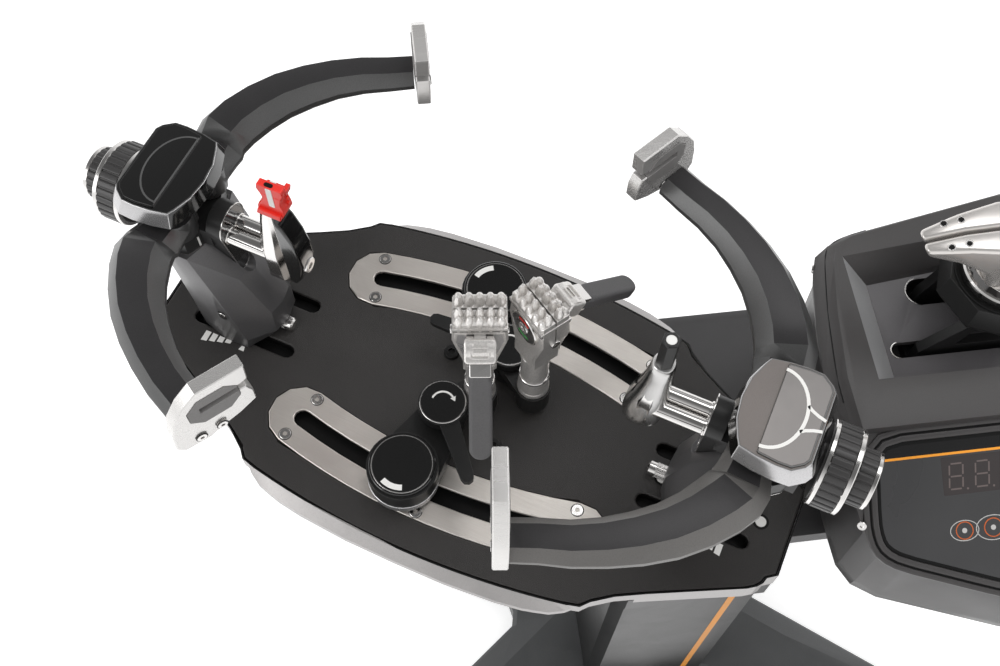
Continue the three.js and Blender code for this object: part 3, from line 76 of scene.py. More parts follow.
def clamp_place(name):
    post = joints[f"clamp_{name}_turn"]["pos_m"]
    return local_frame((post[0], post[1], deck_top), joints[f"handle_{name}_lift"]["axis"])


# Node groups for the finishes
def srgb(red, green, blue):
    """Colour as an eye reads it from a picture, 0 to 255, as the linear values that a shader takes."""
    def linear(value):
        value /= 255
        return value / 12.92 if value <= 0.04045 else ((value + 0.055) / 1.055) ** 2.4
    return (linear(red), linear(green), linear(blue), 1)


def new_group(name, inputs, outputs):
    group = bpy.data.node_groups.new(name, "ShaderNodeTree")
    for label, kind, default in inputs:
        socket = group.interface.new_socket(name=label, in_out="INPUT", socket_type=kind)
        socket.default_value = default
    for label, kind in outputs:
        group.interface.new_socket(name=label, in_out="OUTPUT", socket_type=kind)
    return group, group.nodes.new("NodeGroupInput"), group.nodes.new("NodeGroupOutput")


def add_node(tree, kind, inputs=None, **settings):
    node = tree.nodes.new(kind)
    for key, value in settings.items():
        setattr(node, key, value)
    for key, value in (inputs or {}).items():
        if isinstance(value, bpy.types.NodeSocket):
            tree.links.new(value, node.inputs[key])
        else:
            node.inputs[key].default_value = value
    return node


def math_node(tree, operation, first, second=0.0, clamp=False):
    return add_node(tree, "ShaderNodeMath", {0: first, 1: second}, operation=operation,
                    use_clamp=clamp).outputs[0]


def mix_colour(tree, factor, first, second, blend="MIX"):
    node = add_node(tree, "ShaderNodeMix", data_type="RGBA", blend_type=blend)
    for index, value in ((0, factor), (6, first), (7, second)):
        if isinstance(value, bpy.types.NodeSocket):
            tree.links.new(value, node.inputs[index])
        else:
            node.inputs[index].default_value = value
    return node.outputs[2]


def remap(tree, value, low, high, to_low=0.0, to_high=1.0):
    inputs = {"Value": value, "From Min": low, "From Max": high, "To Min": to_low, "To Max": to_high}
    return add_node(tree, "ShaderNodeMapRange", inputs).outputs["Result"]


def make_edge_wear_and_highlight():
    """Mask that is bright on outer edges, broken up so that it doesn't run as one even line. The finishes use it
    for edge wear and for painted highlights along edges.
    """
    group, given, out = new_group("Edge wear", [
        ("Width", "NodeSocketFloat", 0.0006), ("Sharpness", "NodeSocketFloat", 3.0),
        ("Breakup Scale", "NodeSocketFloat", 260.0), ("Vector", "NodeSocketVector", (0, 0, 0)),
    ], [("Edge", "NodeSocketFloat")])
    rounded = add_node(group, "ShaderNodeBevel", {"Radius": given.outputs["Width"]}, samples=4)
    geometry = add_node(group, "ShaderNodeNewGeometry")
    dot = add_node(group, "ShaderNodeVectorMath", {0: rounded.outputs[0], 1: geometry.outputs["Normal"]},
                   operation="DOT_PRODUCT").outputs["Value"]
    edge = math_node(group, "MULTIPLY", math_node(group, "SUBTRACT", 1.0, dot), given.outputs["Sharpness"],
                     True)
    noise = add_node(group, "ShaderNodeTexNoise", {
        "Vector": given.outputs["Vector"], "Scale": given.outputs["Breakup Scale"], "Detail": 3.0})
    broken = remap(group, noise.outputs["Fac"], 0.35, 0.6, 0.55, 1.0)
    group.links.new(math_node(group, "MULTIPLY", edge, broken, True), out.inputs["Edge"])
    return group


def make_cast_texture():
    """Fine pebbled grain of powder coat or moulded plastic, as a height and as a mask of its pits; finish()
    darkens the pits with it as painted shade.
    """
    group, given, out = new_group("Pebble grain", [
        ("Scale", "NodeSocketFloat", 1800.0), ("Vector", "NodeSocketVector", (0, 0, 0)),
    ], [("Height", "NodeSocketFloat"), ("Pits", "NodeSocketFloat")])
    cells = add_node(group, "ShaderNodeTexVoronoi", {
        "Vector": given.outputs["Vector"], "Scale": given.outputs["Scale"]}, feature="SMOOTH_F1")
    noise = add_node(group, "ShaderNodeTexNoise", {
        "Vector": given.outputs["Vector"], "Scale": given.outputs["Scale"], "Detail": 2.0})
    height = math_node(group, "ADD", math_node(group, "MULTIPLY", cells.outputs["Distance"], 0.6),
                       noise.outputs["Fac"])
    group.links.new(height, out.inputs["Height"])
    group.links.new(remap(group, cells.outputs["Distance"], 0.2, 0.7), out.inputs["Pits"])
    return group


def make_brushed_grain():
    """Fine parallel lines left by brushing along one direction, with a few deeper ones."""
    group, given, out = new_group("Brushed grain", [
        ("Vector", "NodeSocketVector", (0, 0, 0)), ("Fineness", "NodeSocketFloat", 2600.0),
        ("Stretch", "NodeSocketFloat", 0.02),
    ], [("Lines", "NodeSocketFloat"), ("Scratches", "NodeSocketFloat")])
    squeeze = add_node(group, "ShaderNodeCombineXYZ", {"X": given.outputs["Stretch"], "Y": 1.0, "Z": 1.0})
    stretched = add_node(group, "ShaderNodeVectorMath", {0: given.outputs["Vector"], 1: squeeze.outputs[0]},
                         operation="MULTIPLY").outputs["Vector"]
    fine = add_node(group, "ShaderNodeTexNoise", {
        "Vector": stretched, "Scale": given.outputs["Fineness"], "Detail": 2.0, "Roughness": 0.7})
    coarse = add_node(group, "ShaderNodeTexNoise", {
        "Vector": stretched, "Scale": math_node(group, "MULTIPLY", given.outputs["Fineness"], 0.23),
        "Detail": 1.0})
    group.links.new(fine.outputs["Fac"], out.inputs["Lines"])
    group.links.new(remap(group, coarse.outputs["Fac"], 0.62, 0.72), out.inputs["Scratches"])
    return group


def make_handling_marks():
    """Slow cloudy change over a surface, and small dust specks on it."""
    group, given, out = new_group("Handling marks", [
        ("Vector", "NodeSocketVector", (0, 0, 0)), ("Cloud Scale", "NodeSocketFloat", 14.0),
        ("Speck Scale", "NodeSocketFloat", 420.0),
    ], [("Cloud", "NodeSocketFloat"), ("Specks", "NodeSocketFloat")])
    cloud = add_node(group, "ShaderNodeTexNoise", {
        "Vector": given.outputs["Vector"], "Scale": given.outputs["Cloud Scale"], "Detail": 4.0,
        "Distortion": 0.6})
    specks = add_node(group, "ShaderNodeTexVoronoi", {
        "Vector": given.outputs["Vector"], "Scale": given.outputs["Speck Scale"]})
    group.links.new(remap(group, cloud.outputs["Fac"], 0.3, 0.7), out.inputs["Cloud"])
    group.links.new(remap(group, specks.outputs["Distance"], 0.09, 0.05), out.inputs["Specks"])
    return group


edge_wear_and_highlight_group = make_edge_wear_and_highlight()
pebble_grain = make_cast_texture()
brushed_grain = make_brushed_grain()
handling_marks = make_handling_marks()


def group_node(tree, group, inputs):
    node = add_node(tree, "ShaderNodeGroup", node_tree=group)
    for key, value in inputs.items():
        if isinstance(value, bpy.types.NodeSocket):
            tree.links.new(value, node.inputs[key])
        else:
            node.inputs[key].default_value = value
    return node


def finish(name, colour, roughness, metallic=0.0, coat=0.0, coat_roughness=0.05, specular=0.5,
           grain=0.0, grain_scale=1800.0, brushed=0.0, brush_turn=0.0, brush_stretch=0.02, cloud=0.12,
           edge=0.0, edge_colour=None, edge_width=0.0006, specks=0.04, roughness_swing=0.12):
    """Material with the shared effects in it, each at the strength that this finish shows."""
    material = bpy.data.materials.new(name)
    material.use_nodes = True
    tree = material.node_tree
    shader = tree.nodes["Principled BSDF"]
    place = add_node(tree, "ShaderNodeTexCoord").outputs["Object"]
    marks = group_node(tree, handling_marks, {"Vector": place})
    darker = tuple(c * (1 - cloud) for c in colour[:3]) + (1,)
    lighter = tuple(min(1, c * (1 + cloud)) for c in colour[:3]) + (1,)
    surface = mix_colour(tree, marks.outputs["Cloud"], darker, lighter)
    rough = remap(tree, marks.outputs["Cloud"], 0, 1, roughness * (1 - roughness_swing),
                  roughness * (1 + roughness_swing))
    height = None
    if grain:
        pebbles = group_node(tree, pebble_grain, {"Vector": place, "Scale": grain_scale})
        height = (pebbles.outputs["Height"], grain)
        # The grain's pits are set darker: painted shade in the grain's hollows
        pit_painted_shade = tuple(c * 0.72 for c in colour[:3]) + (1,)
        surface = mix_colour(tree, math_node(tree, "MULTIPLY", pebbles.outputs["Pits"], 0.5), surface, pit_painted_shade)
    if brushed:
        turned = add_node(tree, "ShaderNodeMapping", {"Vector": place, "Rotation": (0, 0,
            brush_turn)}).outputs[0]
        lines = group_node(tree, brushed_grain, {"Vector": turned, "Stretch": brush_stretch})
        height = (lines.outputs["Lines"], brushed)
        line_dark = tuple(c * 0.82 for c in colour[:3]) + (1,)
        surface = mix_colour(tree, lines.outputs["Lines"], line_dark, surface)
        rough = math_node(tree, "ADD", rough, math_node(tree, "MULTIPLY", lines.outputs["Scratches"], 0.12))
    # Lighter edges: partly wear, partly painted highlight where edges catch the light
    if edge:
        edge_wear_and_highlight_mask = group_node(tree, edge_wear_and_highlight_group, {"Vector": place, "Width": edge_width})
        amount = math_node(tree, "MULTIPLY", edge_wear_and_highlight_mask.outputs["Edge"], edge, True)
        surface = mix_colour(tree, amount, surface, edge_colour or lighter)
    if specks:
        surface = mix_colour(tree, math_node(tree, "MULTIPLY", marks.outputs["Specks"], specks), surface,
                             srgb(190, 186, 180))
    tree.links.new(surface, shader.inputs["Base Color"])
    tree.links.new(rough, shader.inputs["Roughness"])
    if height:
        bump = add_node(tree, "ShaderNodeBump", {"Height": height[0], "Strength": height[1],
                                                 "Distance": 0.0004})
        tree.links.new(bump.outputs["Normal"], shader.inputs["Normal"])
    shader.inputs["Metallic"].default_value = metallic
    shader.inputs["Coat Weight"].default_value = coat
    shader.inputs["Coat Roughness"].default_value = coat_roughness
    shader.inputs["Specular IOR Level"].default_value = specular
    return material


table_turn = math.atan2(table_place[1][0], table_place[0][0])
finishes = {
    "deck_black": finish("Deck powder coat", srgb(48, 46, 45), 0.44, specular=0.45, grain=0.55,
                         grain_scale=2000,
                         edge=0.5, edge_colour=srgb(96, 94, 92)),
    "casting_grey": finish("Casting silver paint", srgb(172, 169, 168), 0.34, metallic=0.6, grain=0.12,
                           edge=0.6, edge_colour=srgb(214, 212, 210)),
    "rail_steel": finish("Brushed rail steel", srgb(247, 239, 232), 0.36, metallic=0.85, brushed=0.25,
                         brush_turn=-table_turn, edge=0.7, edge_colour=srgb(246, 244, 240)),
    "tower_grey": finish("Tower graphite coat", srgb(104, 103, 104), 0.36, metallic=0.6, grain=0.08,
                         specular=0.4,
                         edge=0.35, edge_colour=srgb(132, 131, 132)),
    "collar_black": finish("Collar satin black", srgb(28, 28, 28), 0.42, specular=0.4, edge=0.3,
                           edge_colour=srgb(90, 90, 90)),
    "cap_silver": finish("Cap silver paint", srgb(204, 203, 204), 0.27, metallic=0.8, grain=0.05,
                         edge=0.6, edge_colour=srgb(232, 231, 232)),
    "knob_black": finish("Knob satin plastic", srgb(66, 65, 65), 0.33, metallic=0.25, specular=0.5, grain=0.1,
                         grain_scale=2400, edge=0.5, edge_colour=srgb(150, 148, 148)),
    "arm_dark": finish("Arm graphite coat", srgb(55, 54, 55), 0.38, metallic=0.35, grain=0.1, specular=0.42,
                       edge=0.4, edge_colour=srgb(128, 127, 128)),
    "support_aluminium": finish("Support satin aluminium", srgb(227, 225, 223), 0.27, metallic=0.75,
                                brushed=0.03,
                                edge=0.6, edge_colour=srgb(250, 250, 250), cloud=0.05),
    "pad_grey": finish("Pad urethane", srgb(128, 126, 125), 0.55, grain=0.15, grain_scale=1500, edge=0.3,
                       edge_colour=srgb(168, 166, 165)),
    "support_chrome": finish("Polished chrome", srgb(222, 220, 218), 0.1, metallic=1.0, cloud=0.04,
                             specks=0.0),
    "adapter_red": finish("Adapter red plastic", srgb(232, 48, 38), 0.36, grain=0.05, cloud=0.06,
                          edge=0.4, edge_colour=srgb(250, 110, 92)),
    "clamp_silver": finish("Clamp silver casting", srgb(231, 228, 225), 0.3, metallic=0.72, grain=0.03,
                           grain_scale=900,
                           edge=0.5, edge_colour=srgb(252, 251, 249), cloud=0.06),
    "clamp_black": finish("Clamp satin black", srgb(26, 26, 26), 0.36, specular=0.45, grain=0.08,
                          edge=0.4, edge_colour=srgb(104, 103, 102)),
    "grip_grey": finish("Grip rubber", srgb(85, 84, 85), 0.62, grain=0.3, grain_scale=1400, edge=0.3,
                        edge_colour=srgb(118, 117, 118)),
    "console_grey": finish("Console moulded plastic", srgb(67, 65, 65), 0.4, specular=0.5, grain=0.2,
                           grain_scale=2200, edge=0.45, edge_colour=srgb(128, 126, 127)),
    "panel_glass": finish("Panel gloss black", srgb(16, 16, 17), 0.14, specular=0.5, coat=0.5, cloud=0.05),
    "neck_black": finish("Neck powder coat", srgb(66, 65, 66), 0.42, specular=0.5, grain=0.3,
                         grain_scale=2200,
                         edge=0.4, edge_colour=srgb(120, 119, 120)),
    "column_grey": finish("Column metallic coat", srgb(51, 51, 51), 0.32, metallic=0.6, grain=0.12,
                          edge=0.4, edge_colour=srgb(150, 149, 150)),
    "base_grey": finish("Base powder coat", srgb(85, 86, 87), 0.42, metallic=0.3, specular=0.5, grain=0.35,
                        grain_scale=1700, edge=0.4, edge_colour=srgb(176, 177, 178), specks=0.14),
    "foot_rubber": finish("Foot rubber", srgb(24, 24, 24), 0.7, grain=0.3, grain_scale=1200),
}
thumb_satin = finish("Thumb satin metal", srgb(200, 199, 198), 0.24, metallic=1.0, cloud=0.06, specks=0.0)
slot_shade = finish("Slot shadow black", srgb(14, 14, 14), 0.55, specular=0.25, cloud=0.1, specks=0.0)
# Light grey for the right tower's gloss black cap face: painted reflection
cap_face_painted_reflection = finish("Cap matte inlay", srgb(112, 106, 103), 0.42, specular=0.35, grain=0.12, grain_scale=2600)
cap_line = finish("Cap grey line", srgb(108, 108, 108), 0.35, metallic=0.6, cloud=0.03, specks=0.0)
arm_flank = finish("Arm flank coat", srgb(90, 90, 90), 0.32, metallic=0.6, grain=0.12, specular=0.45,
                   edge=0.5, edge_colour=srgb(190, 189, 190))
# Lighter copy of the arm flank finish, for the right-front arm alone: painted light
arm_flank_painted_light = finish("Arm band coat", srgb(106, 104, 102), 0.38, metallic=0.5, grain=0.25, specular=0.45,
                  edge=0.5, edge_colour=srgb(200, 198, 197))
dial_red = finish("Dial red", srgb(206, 52, 44), 0.4, cloud=0.05, specks=0.0)
dial_green = finish("Dial green", srgb(70, 160, 84), 0.4, cloud=0.05, specks=0.0)
glass_field = finish("Panel grey film", srgb(63, 63, 64), 0.3, specular=0.45, coat=0.2, cloud=0.08,
                     specks=0.0)
window_tint = finish("Digit window", srgb(62, 58, 58), 0.22, specular=0.4, cloud=0.05, specks=0.0)
digit_bar = finish("Digit bar unlit", srgb(104, 93, 91), 0.4, cloud=0.05, specks=0.0)
digit_light = finish("Button print", srgb(186, 184, 182), 0.45, cloud=0.03, specks=0.0)
trough_light = finish("Trough wall catching light", srgb(150, 150, 151), 0.42, specular=0.5, grain=0.2,
                      grain_scale=2200)
white_print = finish("White print", srgb(226, 225, 222), 0.5, cloud=0.03, specks=0.0)
gloss_black = finish("Gloss black enamel", srgb(15, 15, 15), 0.12, specular=0.5, coat=0.6, cloud=0.05)
bright_ring = finish("Bright ring", srgb(224, 222, 220), 0.18, metallic=1.0, cloud=0.05, specks=0.0)
beak_satin = finish("Beak satin casting", srgb(226, 222, 218), 0.24, metallic=0.72, cloud=0.08, specks=0.0)
button_copper = finish("Button copper print", srgb(186, 92, 44), 0.4, cloud=0.06, specks=0.0)
# Darker copy of the console finish for its lower walls: painted shade
console_wall_painted_shade = finish("Console lower wall", srgb(46, 44, 44), 0.36, specular=0.5, grain=0.2, grain_scale=2200)
trough_floor = finish("Trough floor", srgb(92, 90, 92), 0.38, specular=0.5, grain=0.2, grain_scale=2200)
# Light grey, blotchy finish for the right tower's gloss black cap panel: painted reflection
cap_panel_painted_reflection = finish("Cap mirror panel", srgb(92, 88, 86), 0.16, metallic=0.3, coat=0.5, cloud=0.25,
                    specks=0.0)
orange_line = finish("Orange stripe", srgb(243, 158, 44), 0.4, cloud=0.06, specks=0.0)


# Modelling helpers
def only(*objects):
    """Object mode, with these objects alone selected."""
    if bpy.context.mode != "OBJECT":
        bpy.ops.object.mode_set(mode="OBJECT")
    bpy.ops.object.select_all(action="DESELECT")
    for obj in objects:
        obj.select_set(True)
        bpy.context.view_layer.objects.active = obj


def apply_modifier(obj, kind, **settings):
    only(obj)
    modifier = obj.modifiers.new(kind.title().replace("_", " "), kind)
    for key, value in settings.items():
        setattr(modifier, key, value)
    bpy.ops.object.modifier_apply(modifier=modifier.name)


def bevel(obj, width, segments=2, angle=28):
    apply_modifier(obj, "BEVEL", width=width, segments=segments, limit_method="ANGLE",
                   angle_limit=math.radians(angle), harden_normals=False)


def settle(obj, name, body, slot, material=None, smooth=32, place=None):
    """Puts the piece's place in its mesh, gives it its finish and hands it to its body."""
    if place is not None:
        obj.data.transform(place)
    obj.name = name
    obj.data.name = name
    obj.data.materials.clear()
    obj.data.materials.append(material or finishes[slot])
    only(obj)
    bpy.ops.object.shade_smooth_by_angle(angle=math.radians(smooth))
    if smooth < 45:
        apply_modifier(obj, "WEIGHTED_NORMAL", keep_sharp=True, weight=80)
    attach(obj, body)
    return obj


def merged_copy(node, name):
    """Copy of a CAD solid with its loose triangles joined into flat faces."""
    mesh = nodes[node].data.copy()
    obj = bpy.data.objects.new(name, mesh)
    bpy.context.scene.collection.objects.link(obj)
    only(obj)
    bpy.ops.object.mode_set(mode="EDIT")
    bpy.ops.mesh.select_all(action="SELECT")
    bpy.ops.mesh.remove_doubles(threshold=0.000005)
    bpy.ops.mesh.dissolve_limited(angle_limit=math.radians(0.6))
    bpy.ops.object.mode_set(mode="OBJECT")
    return obj


body_of = {node: body for body, members in frame["record"]["behaviour"]["bodies"].items() for node in members}
slot_of = {entry["node"]: entry["material_slot"] for entry in frame["record"]["subparts"]}


def dress(node, edge=0.5, segments=2, angle=28, smooth=32, material=None, shape=None):
    """Dressed copy of a CAD node: the same shape with its sharp edges rounded."""
    obj = merged_copy(node, f"{node}_dressed")
    if shape:
        shape(obj)
    if edge:
        bevel(obj, edge * MM, segments, angle)
    settle(obj, f"{node}_dressed", body_of[node], slot_of[node], material, smooth)
    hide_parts(node)
    return obj


# Modelling helpers for the trim: their outlines are lists of [x, y], counter-clockwise, in millimetres
def start_mesh(name, points, edges=(), faces=()):
    mesh = bpy.data.meshes.new(name)
    mesh.from_pydata([tuple(point) for point in points], [tuple(edge) for edge in edges],
                     [tuple(face) for face in faces])
    obj = bpy.data.objects.new(name, mesh)
    bpy.context.scene.collection.objects.link(obj)
    edit_all(obj)
    return obj


def edit_all(obj):
    only(obj)
    bpy.ops.object.mode_set(mode="EDIT")
    bpy.ops.mesh.select_all(action="SELECT")


def close_edit(obj, join=False):
    bpy.ops.mesh.select_all(action="SELECT")
    if join:
        bpy.ops.mesh.remove_doubles(threshold=0.002)
    bpy.ops.mesh.normals_make_consistent(inside=False)
    bpy.ops.object.mode_set(mode="OBJECT")
    return obj


def plate(name, outline, bottom, top, edge=0.0, segments=2):
    obj = start_mesh(name, [(x, y, bottom) for x, y in outline], faces=[range(len(outline))])
    bpy.ops.mesh.extrude_region_move(TRANSFORM_OT_translate={"value": (0, 0, top - bottom)})
    close_edit(obj)
    if edge:
        bevel(obj, edge, segments, 35)
    return obj


def spun(name, profile, steps=48, closed=False):
    """Turned piece: its profile of [radius, height] points, spun once around z."""
    count = len(profile)
    edges = [(i, i + 1) for i in range(count - 1)] + ([(count - 1, 0)] if closed else [])
    obj = start_mesh(name, [(radius, 0, height) for radius, height in profile], edges=edges)
    bpy.ops.mesh.spin(steps=steps, angle=math.tau, center=(0, 0, 0), axis=(0, 0, 1))
    return close_edit(obj, join=True)


def turned_ring(name, inner, outer, bottom, top, steps=48, soft=0.25):
    profile = [(inner, bottom), (outer - soft, bottom), (outer, bottom + soft), (outer, top - soft),
               (outer - soft, top), (inner, top)]
    return spun(name, profile, steps, closed=True)


def turned_disc(name, radius, bottom, top, steps=48, soft=0.3):
    return spun(name, [(0, bottom), (radius, bottom), (radius, top - soft), (radius - soft, top), (0, top)],
                steps)


def lofted(name, rings):
    """Skin over rings that have the same number of points, closed at both ends."""
    count = len(rings[0])
    points = [point for ring in rings for point in ring]
    faces = [tuple(range(count)), tuple(range(len(points) - count, len(points)))]
    for level in range(len(rings) - 1):
        low = level * count
        for i in range(count):
            j = (i + 1) % count
            faces.append((low + i, low + j, low + count + j, low + count + i))
    return close_edit(start_mesh(name, points, faces=faces))


def inset_outline(outline, distance):
    drawn = []
    for i, corner in enumerate(outline):
        here = Vector(corner)
        before = (here - Vector(outline[i - 1])).normalized()
        after = (Vector(outline[(i + 1) % len(outline)]) - here).normalized()
        inward = Vector((-before.y - after.y, before.x + after.x)).normalized()
        share = max(inward.dot(Vector((-before.y, before.x))), 0.4)
        drawn.append(tuple(here + inward * distance / share))
    return drawn


def hoop(name, outline, width, bottom, top, edge=0.0):
    """Band of one width along the inside of an outline."""
    count = len(outline)
    points = [(x, y, bottom) for x, y in outline] + [(x, y, bottom) for x, y in inset_outline(outline, width)]
    faces = [(i, (i + 1) % count, count + (i + 1) % count, count + i) for i in range(count)]
    obj = start_mesh(name, points, faces=faces)
    bpy.ops.mesh.extrude_region_move(TRANSFORM_OT_translate={"value": (0, 0, top - bottom)})
    close_edit(obj)
    if edge:
        bevel(obj, edge, 2, 35)
    return obj


def arc(centre, radius, start, end, steps=12):
    """Points along an arc, from one angle to another in degrees."""
    angles = [math.radians(start + (end - start) * i / steps) for i in range(steps + 1)]
    return [(centre[0] + radius * math.cos(a), centre[1] + radius * math.sin(a)) for a in angles]


def circle(radius, steps=32, centre=(0, 0)):
    return arc(centre, radius, 0, 360, steps)[:-1]


def rounded_box(left, right, low, high, radius, steps=4):
    return (arc((right - radius, low + radius), radius, -90, 0, steps) + arc((right - radius, high - radius),
        radius, 0, 90, steps)
            + arc((left + radius, high - radius), radius, 90, 180, steps)
            + arc((left + radius, low + radius), radius, 180, 270, steps))


def ribbon(points, width):
    """Outline of a line of one width along some points."""
    left, right = [], []
    for i, point in enumerate(points):
        along = (Vector(points[min(i + 1, len(points) - 1)]) - Vector(points[max(i - 1, 0)])).normalized()
        across = Vector((-along.y, along.x)) * width / 2
        left.append(tuple(Vector(point) + across))
        right.append(tuple(Vector(point) - across))
    return right + left[::-1]


def socket_screw(name, radius, height, across, depth):
    """Screw head that stands on z = 0, with a six-sided socket in its top."""
    steps = 24
    def ring(size, z, six=False):
        points = []
        for i in range(steps):
            angle = math.tau * i / steps
            reach = size / math.cos(angle % (math.tau / 6) - math.tau / 12) if six else size
            points.append((reach * math.cos(angle), reach * math.sin(angle), z))
        return points
    half = across / 2
    return lofted(name, [ring(radius, -0.2), ring(radius, height * 0.7), ring(radius * 0.93, height),
                         ring(half, height, True), ring(half, height - depth, True)])


def ribbed_barrel(name, radius, ribs, depth, length):
    """Barrel along z with rounded ribs around it."""
    outline = []
    for i in range(ribs):
        for share, reach in ((0.0, radius - depth), (0.16, radius - depth), (0.24, radius - depth * 0.2),
                             (0.4, radius),
                             (0.76, radius), (0.92, radius - depth * 0.2)):
            angle = math.tau * (i + share) / ribs
            outline.append((reach * math.cos(angle), reach * math.sin(angle)))
    return plate(name, outline, 0, length, edge=0.35)


def along_x(place, x, y=0.0, z=0.0):
    """Place whose z runs outwards along the x of another place, from a point in that one."""
    return place @ Matrix.Translation((x, y, z)) @ Matrix.Rotation(math.radians(90), 4, "Y")


def along_y(place, x=0.0, y=0.0, z=0.0, back=False):
    return place @ Matrix.Translation((x, y, z)) @ Matrix.Rotation(math.radians(90 if back else -90), 4, "X")


def on_surface(obj, place, point):
    """Place with its z square to an object's skin, at the spot nearest to a point."""
    _, spot, normal, _ = obj.closest_point_on_mesh(place @ Vector(point))
    turn = normal.to_track_quat("Z", "Y").to_matrix().to_4x4()
    return Matrix.Translation(spot) @ turn @ Matrix.Scale(MM, 4)


def repeated(obj, name, places, body, slot, material=None, smooth=32):
    """Copies of one model at several places, each with its own mesh."""
    for number, place in enumerate(places, 1):
        twin = bpy.data.objects.new(name, obj.data.copy())
        bpy.context.scene.collection.objects.link(twin)
        settle(twin, f"{name}_{number}", body, slot, material, smooth, place)
    bpy.data.objects.remove(obj)


def paint(obj, material, place, test):
    """Gives the faces for which a test holds another finish; it's told their middle and normal in a place."""
    obj.data.materials.append(material)
    index = len(obj.data.materials) - 1
    back = place.inverted()
    for face in obj.data.polygons:
        normal = (back.to_3x3() @ face.normal).normalized()
        if test(back @ face.center, normal):
            face.material_index = index


def soften(obj, place, width, segments, test, angle=20, upright=False):
    """Rounds the edges whose middle passes a test in a place, where the faces beside them turn enough."""
    back = place.inverted()
    edit_all(obj)
    bpy.ops.mesh.select_all(action="DESELECT")
    bpy.ops.mesh.select_mode(type="EDGE")
    bpy.ops.mesh.edges_select_sharp(sharpness=math.radians(angle))
    bpy.ops.object.mode_set(mode="OBJECT")
    for edge in obj.data.edges:
        ends = [obj.data.vertices[i].co for i in edge.vertices]
        leaning = upright and abs((ends[1] - ends[0]).normalized().z) < 0.8
        if edge.select and (leaning or not test(back @ ((ends[0] + ends[1]) / 2))):
            edge.select = False
    bpy.ops.object.mode_set(mode="EDIT")
    bpy.ops.mesh.bevel(offset=width * MM, segments=segments, affect="EDGES", clamp_overlap=True)
    bpy.ops.mesh.select_mode(type="VERT")
    bpy.ops.object.mode_set(mode="OBJECT")


# Outlines and heights of the machine's parts that the trim sits on
facing_x = Matrix(((0, 0, 1, 0), (1, 0, 0, 0), (0, 1, 0, 0), (0, 0, 0, 1)))
facing_front = Matrix.Rotation(math.radians(90), 4, "X")
cap_half = [(20.3, 0), (18.5, 15.4), (13.2, 29), (10.5, 34), (-2, 36.5), (-15, 37.5), (-25, 37), (-33, 31),
            (-36, 26)]
cap_outline = cap_half + [(x, -y) for x, y in cap_half[:0:-1]]
cap_top = 178.2
knob_axis = 133
sides = ("left", "right")
arm_names = [f"{side}_{end}" for side in sides for end in ("front", "rear")]


def in_slots(middle, _):
    across_table, along_table = abs(middle.y), abs(middle.x)
    beside_rails = along_table < 135 and across_table < 100
    beside_towers = along_table < 245 and across_table < 32
    return middle.z < -0.5 and (beside_rails or beside_towers)


def pull_wall_out(obj):
    """Brings the left wall of the tension head's shell out towards the rim above it."""
    back = machine_place.inverted()
    for vertex in obj.data.vertices:
        spot = back @ vertex.co
        if spot.x < 312 and spot.z < 82:
            share = min(1, (82 - spot.z) / 14) * min(1, (312 - spot.x) / 16)
            vertex.co = machine_place @ (spot - Vector((12.5 * share, 0, 0)))
    soften(obj, machine_place, 18, 5, lambda middle: middle.x < 345 and abs(middle.y + 60) > 90, upright=True)
    soften(obj, machine_place, 15, 6,
           lambda middle: 64 < middle.z < 85 and 290 < middle.x < 480 and abs(middle.y) < 80)
    soften(obj, machine_place, 6, 5,
           lambda middle: middle.z > 86 and (middle.x < 284 or middle.y > 84 or middle.y < -150),
           angle=40)


def round_tower(obj):
    side = obj.name.split("_")[2]
    place = tower_place(side)
    if side == "right":
        back = place.inverted()
        for vertex in obj.data.vertices:
            spot = back @ vertex.co
            if spot.x > 30 and spot.z > 0.1:
                vertex.co = place @ Vector((30 + (spot.x - 30) * 0.55, spot.y, spot.z))
    soften(obj, place, 6, 5, lambda middle: 2 < middle.z < 117)


def round_plan(obj):
    """Softens the kinks of the turntable's outline."""
    soften(obj, table_place, 9, 4, lambda middle: abs(middle.x) > 120 and abs(middle.y) > 30, angle=8,
           upright=True)


shaped = {"tower_body_left": round_tower, "tower_body_right": round_tower, "console_body": pull_wall_out,
          "turntable_deck": round_plan, "turntable_casting": round_plan}


# Every CAD solid in its finish, those of the knobs and the adapter further down
edge_sizes = {
    "turntable_deck": (0.4, 2), "turntable_casting": (0.5, 2), "clamp_rail_front": (0.3, 2),
    "clamp_rail_rear": (0.3, 2),
    "console_body": (3.5, 4), "outer_column": (3.0, 3), "base_casting": (5.0, 3), "neck_beam": (3.0, 3),
    "inner_mast": (1.5, 2), "arm_left_front": (1.6, 3), "arm_left_rear": (1.6, 3),
    "arm_right_front": (1.6, 3),
    "arm_right_rear": (1.6, 3), "tower_body_left": (0, 0), "tower_body_right": (0, 0),
    "inner_support_left": (0.8, 3),
    "clamp_base_front": (1.0, 3), "clamp_base_rear": (1.0, 3), "clamp_head_front": (0.8, 3),
    "clamp_head_rear": (0.8, 3),
    "gripper_jaw_front": (4.2, 6), "gripper_jaw_rear": (4.2, 6),
}
remade = {"arm_knob_left", "arm_knob_right", "support_knob_left", "support_knob_right", "throat_adapter",
          "head_peg"}
flowing = {"console_body", "base_casting", "gripper_jaw_front", "gripper_jaw_rear", "tower_body_left",
           "tower_body_right"}
flowing |= {f"arm_{name}" for name in arm_names}
dressed = {}
for node in nodes:
    if node not in remade:
        width, segments = edge_sizes.get(node, (0.5, 2))
        dressed[node] = dress(node, width, segments, smooth=50 if node in flowing else 32,
                              shape=shaped.get(node))
paint(dressed["turntable_casting"], slot_shade, table_place, in_slots)


# Turntable: screws in the rails, bolts, plugs and the plain scale blocks
def table_spots(spots, height=0.0):
    return [table_place @ Matrix.Translation((u, v, height)) for u, v in spots]


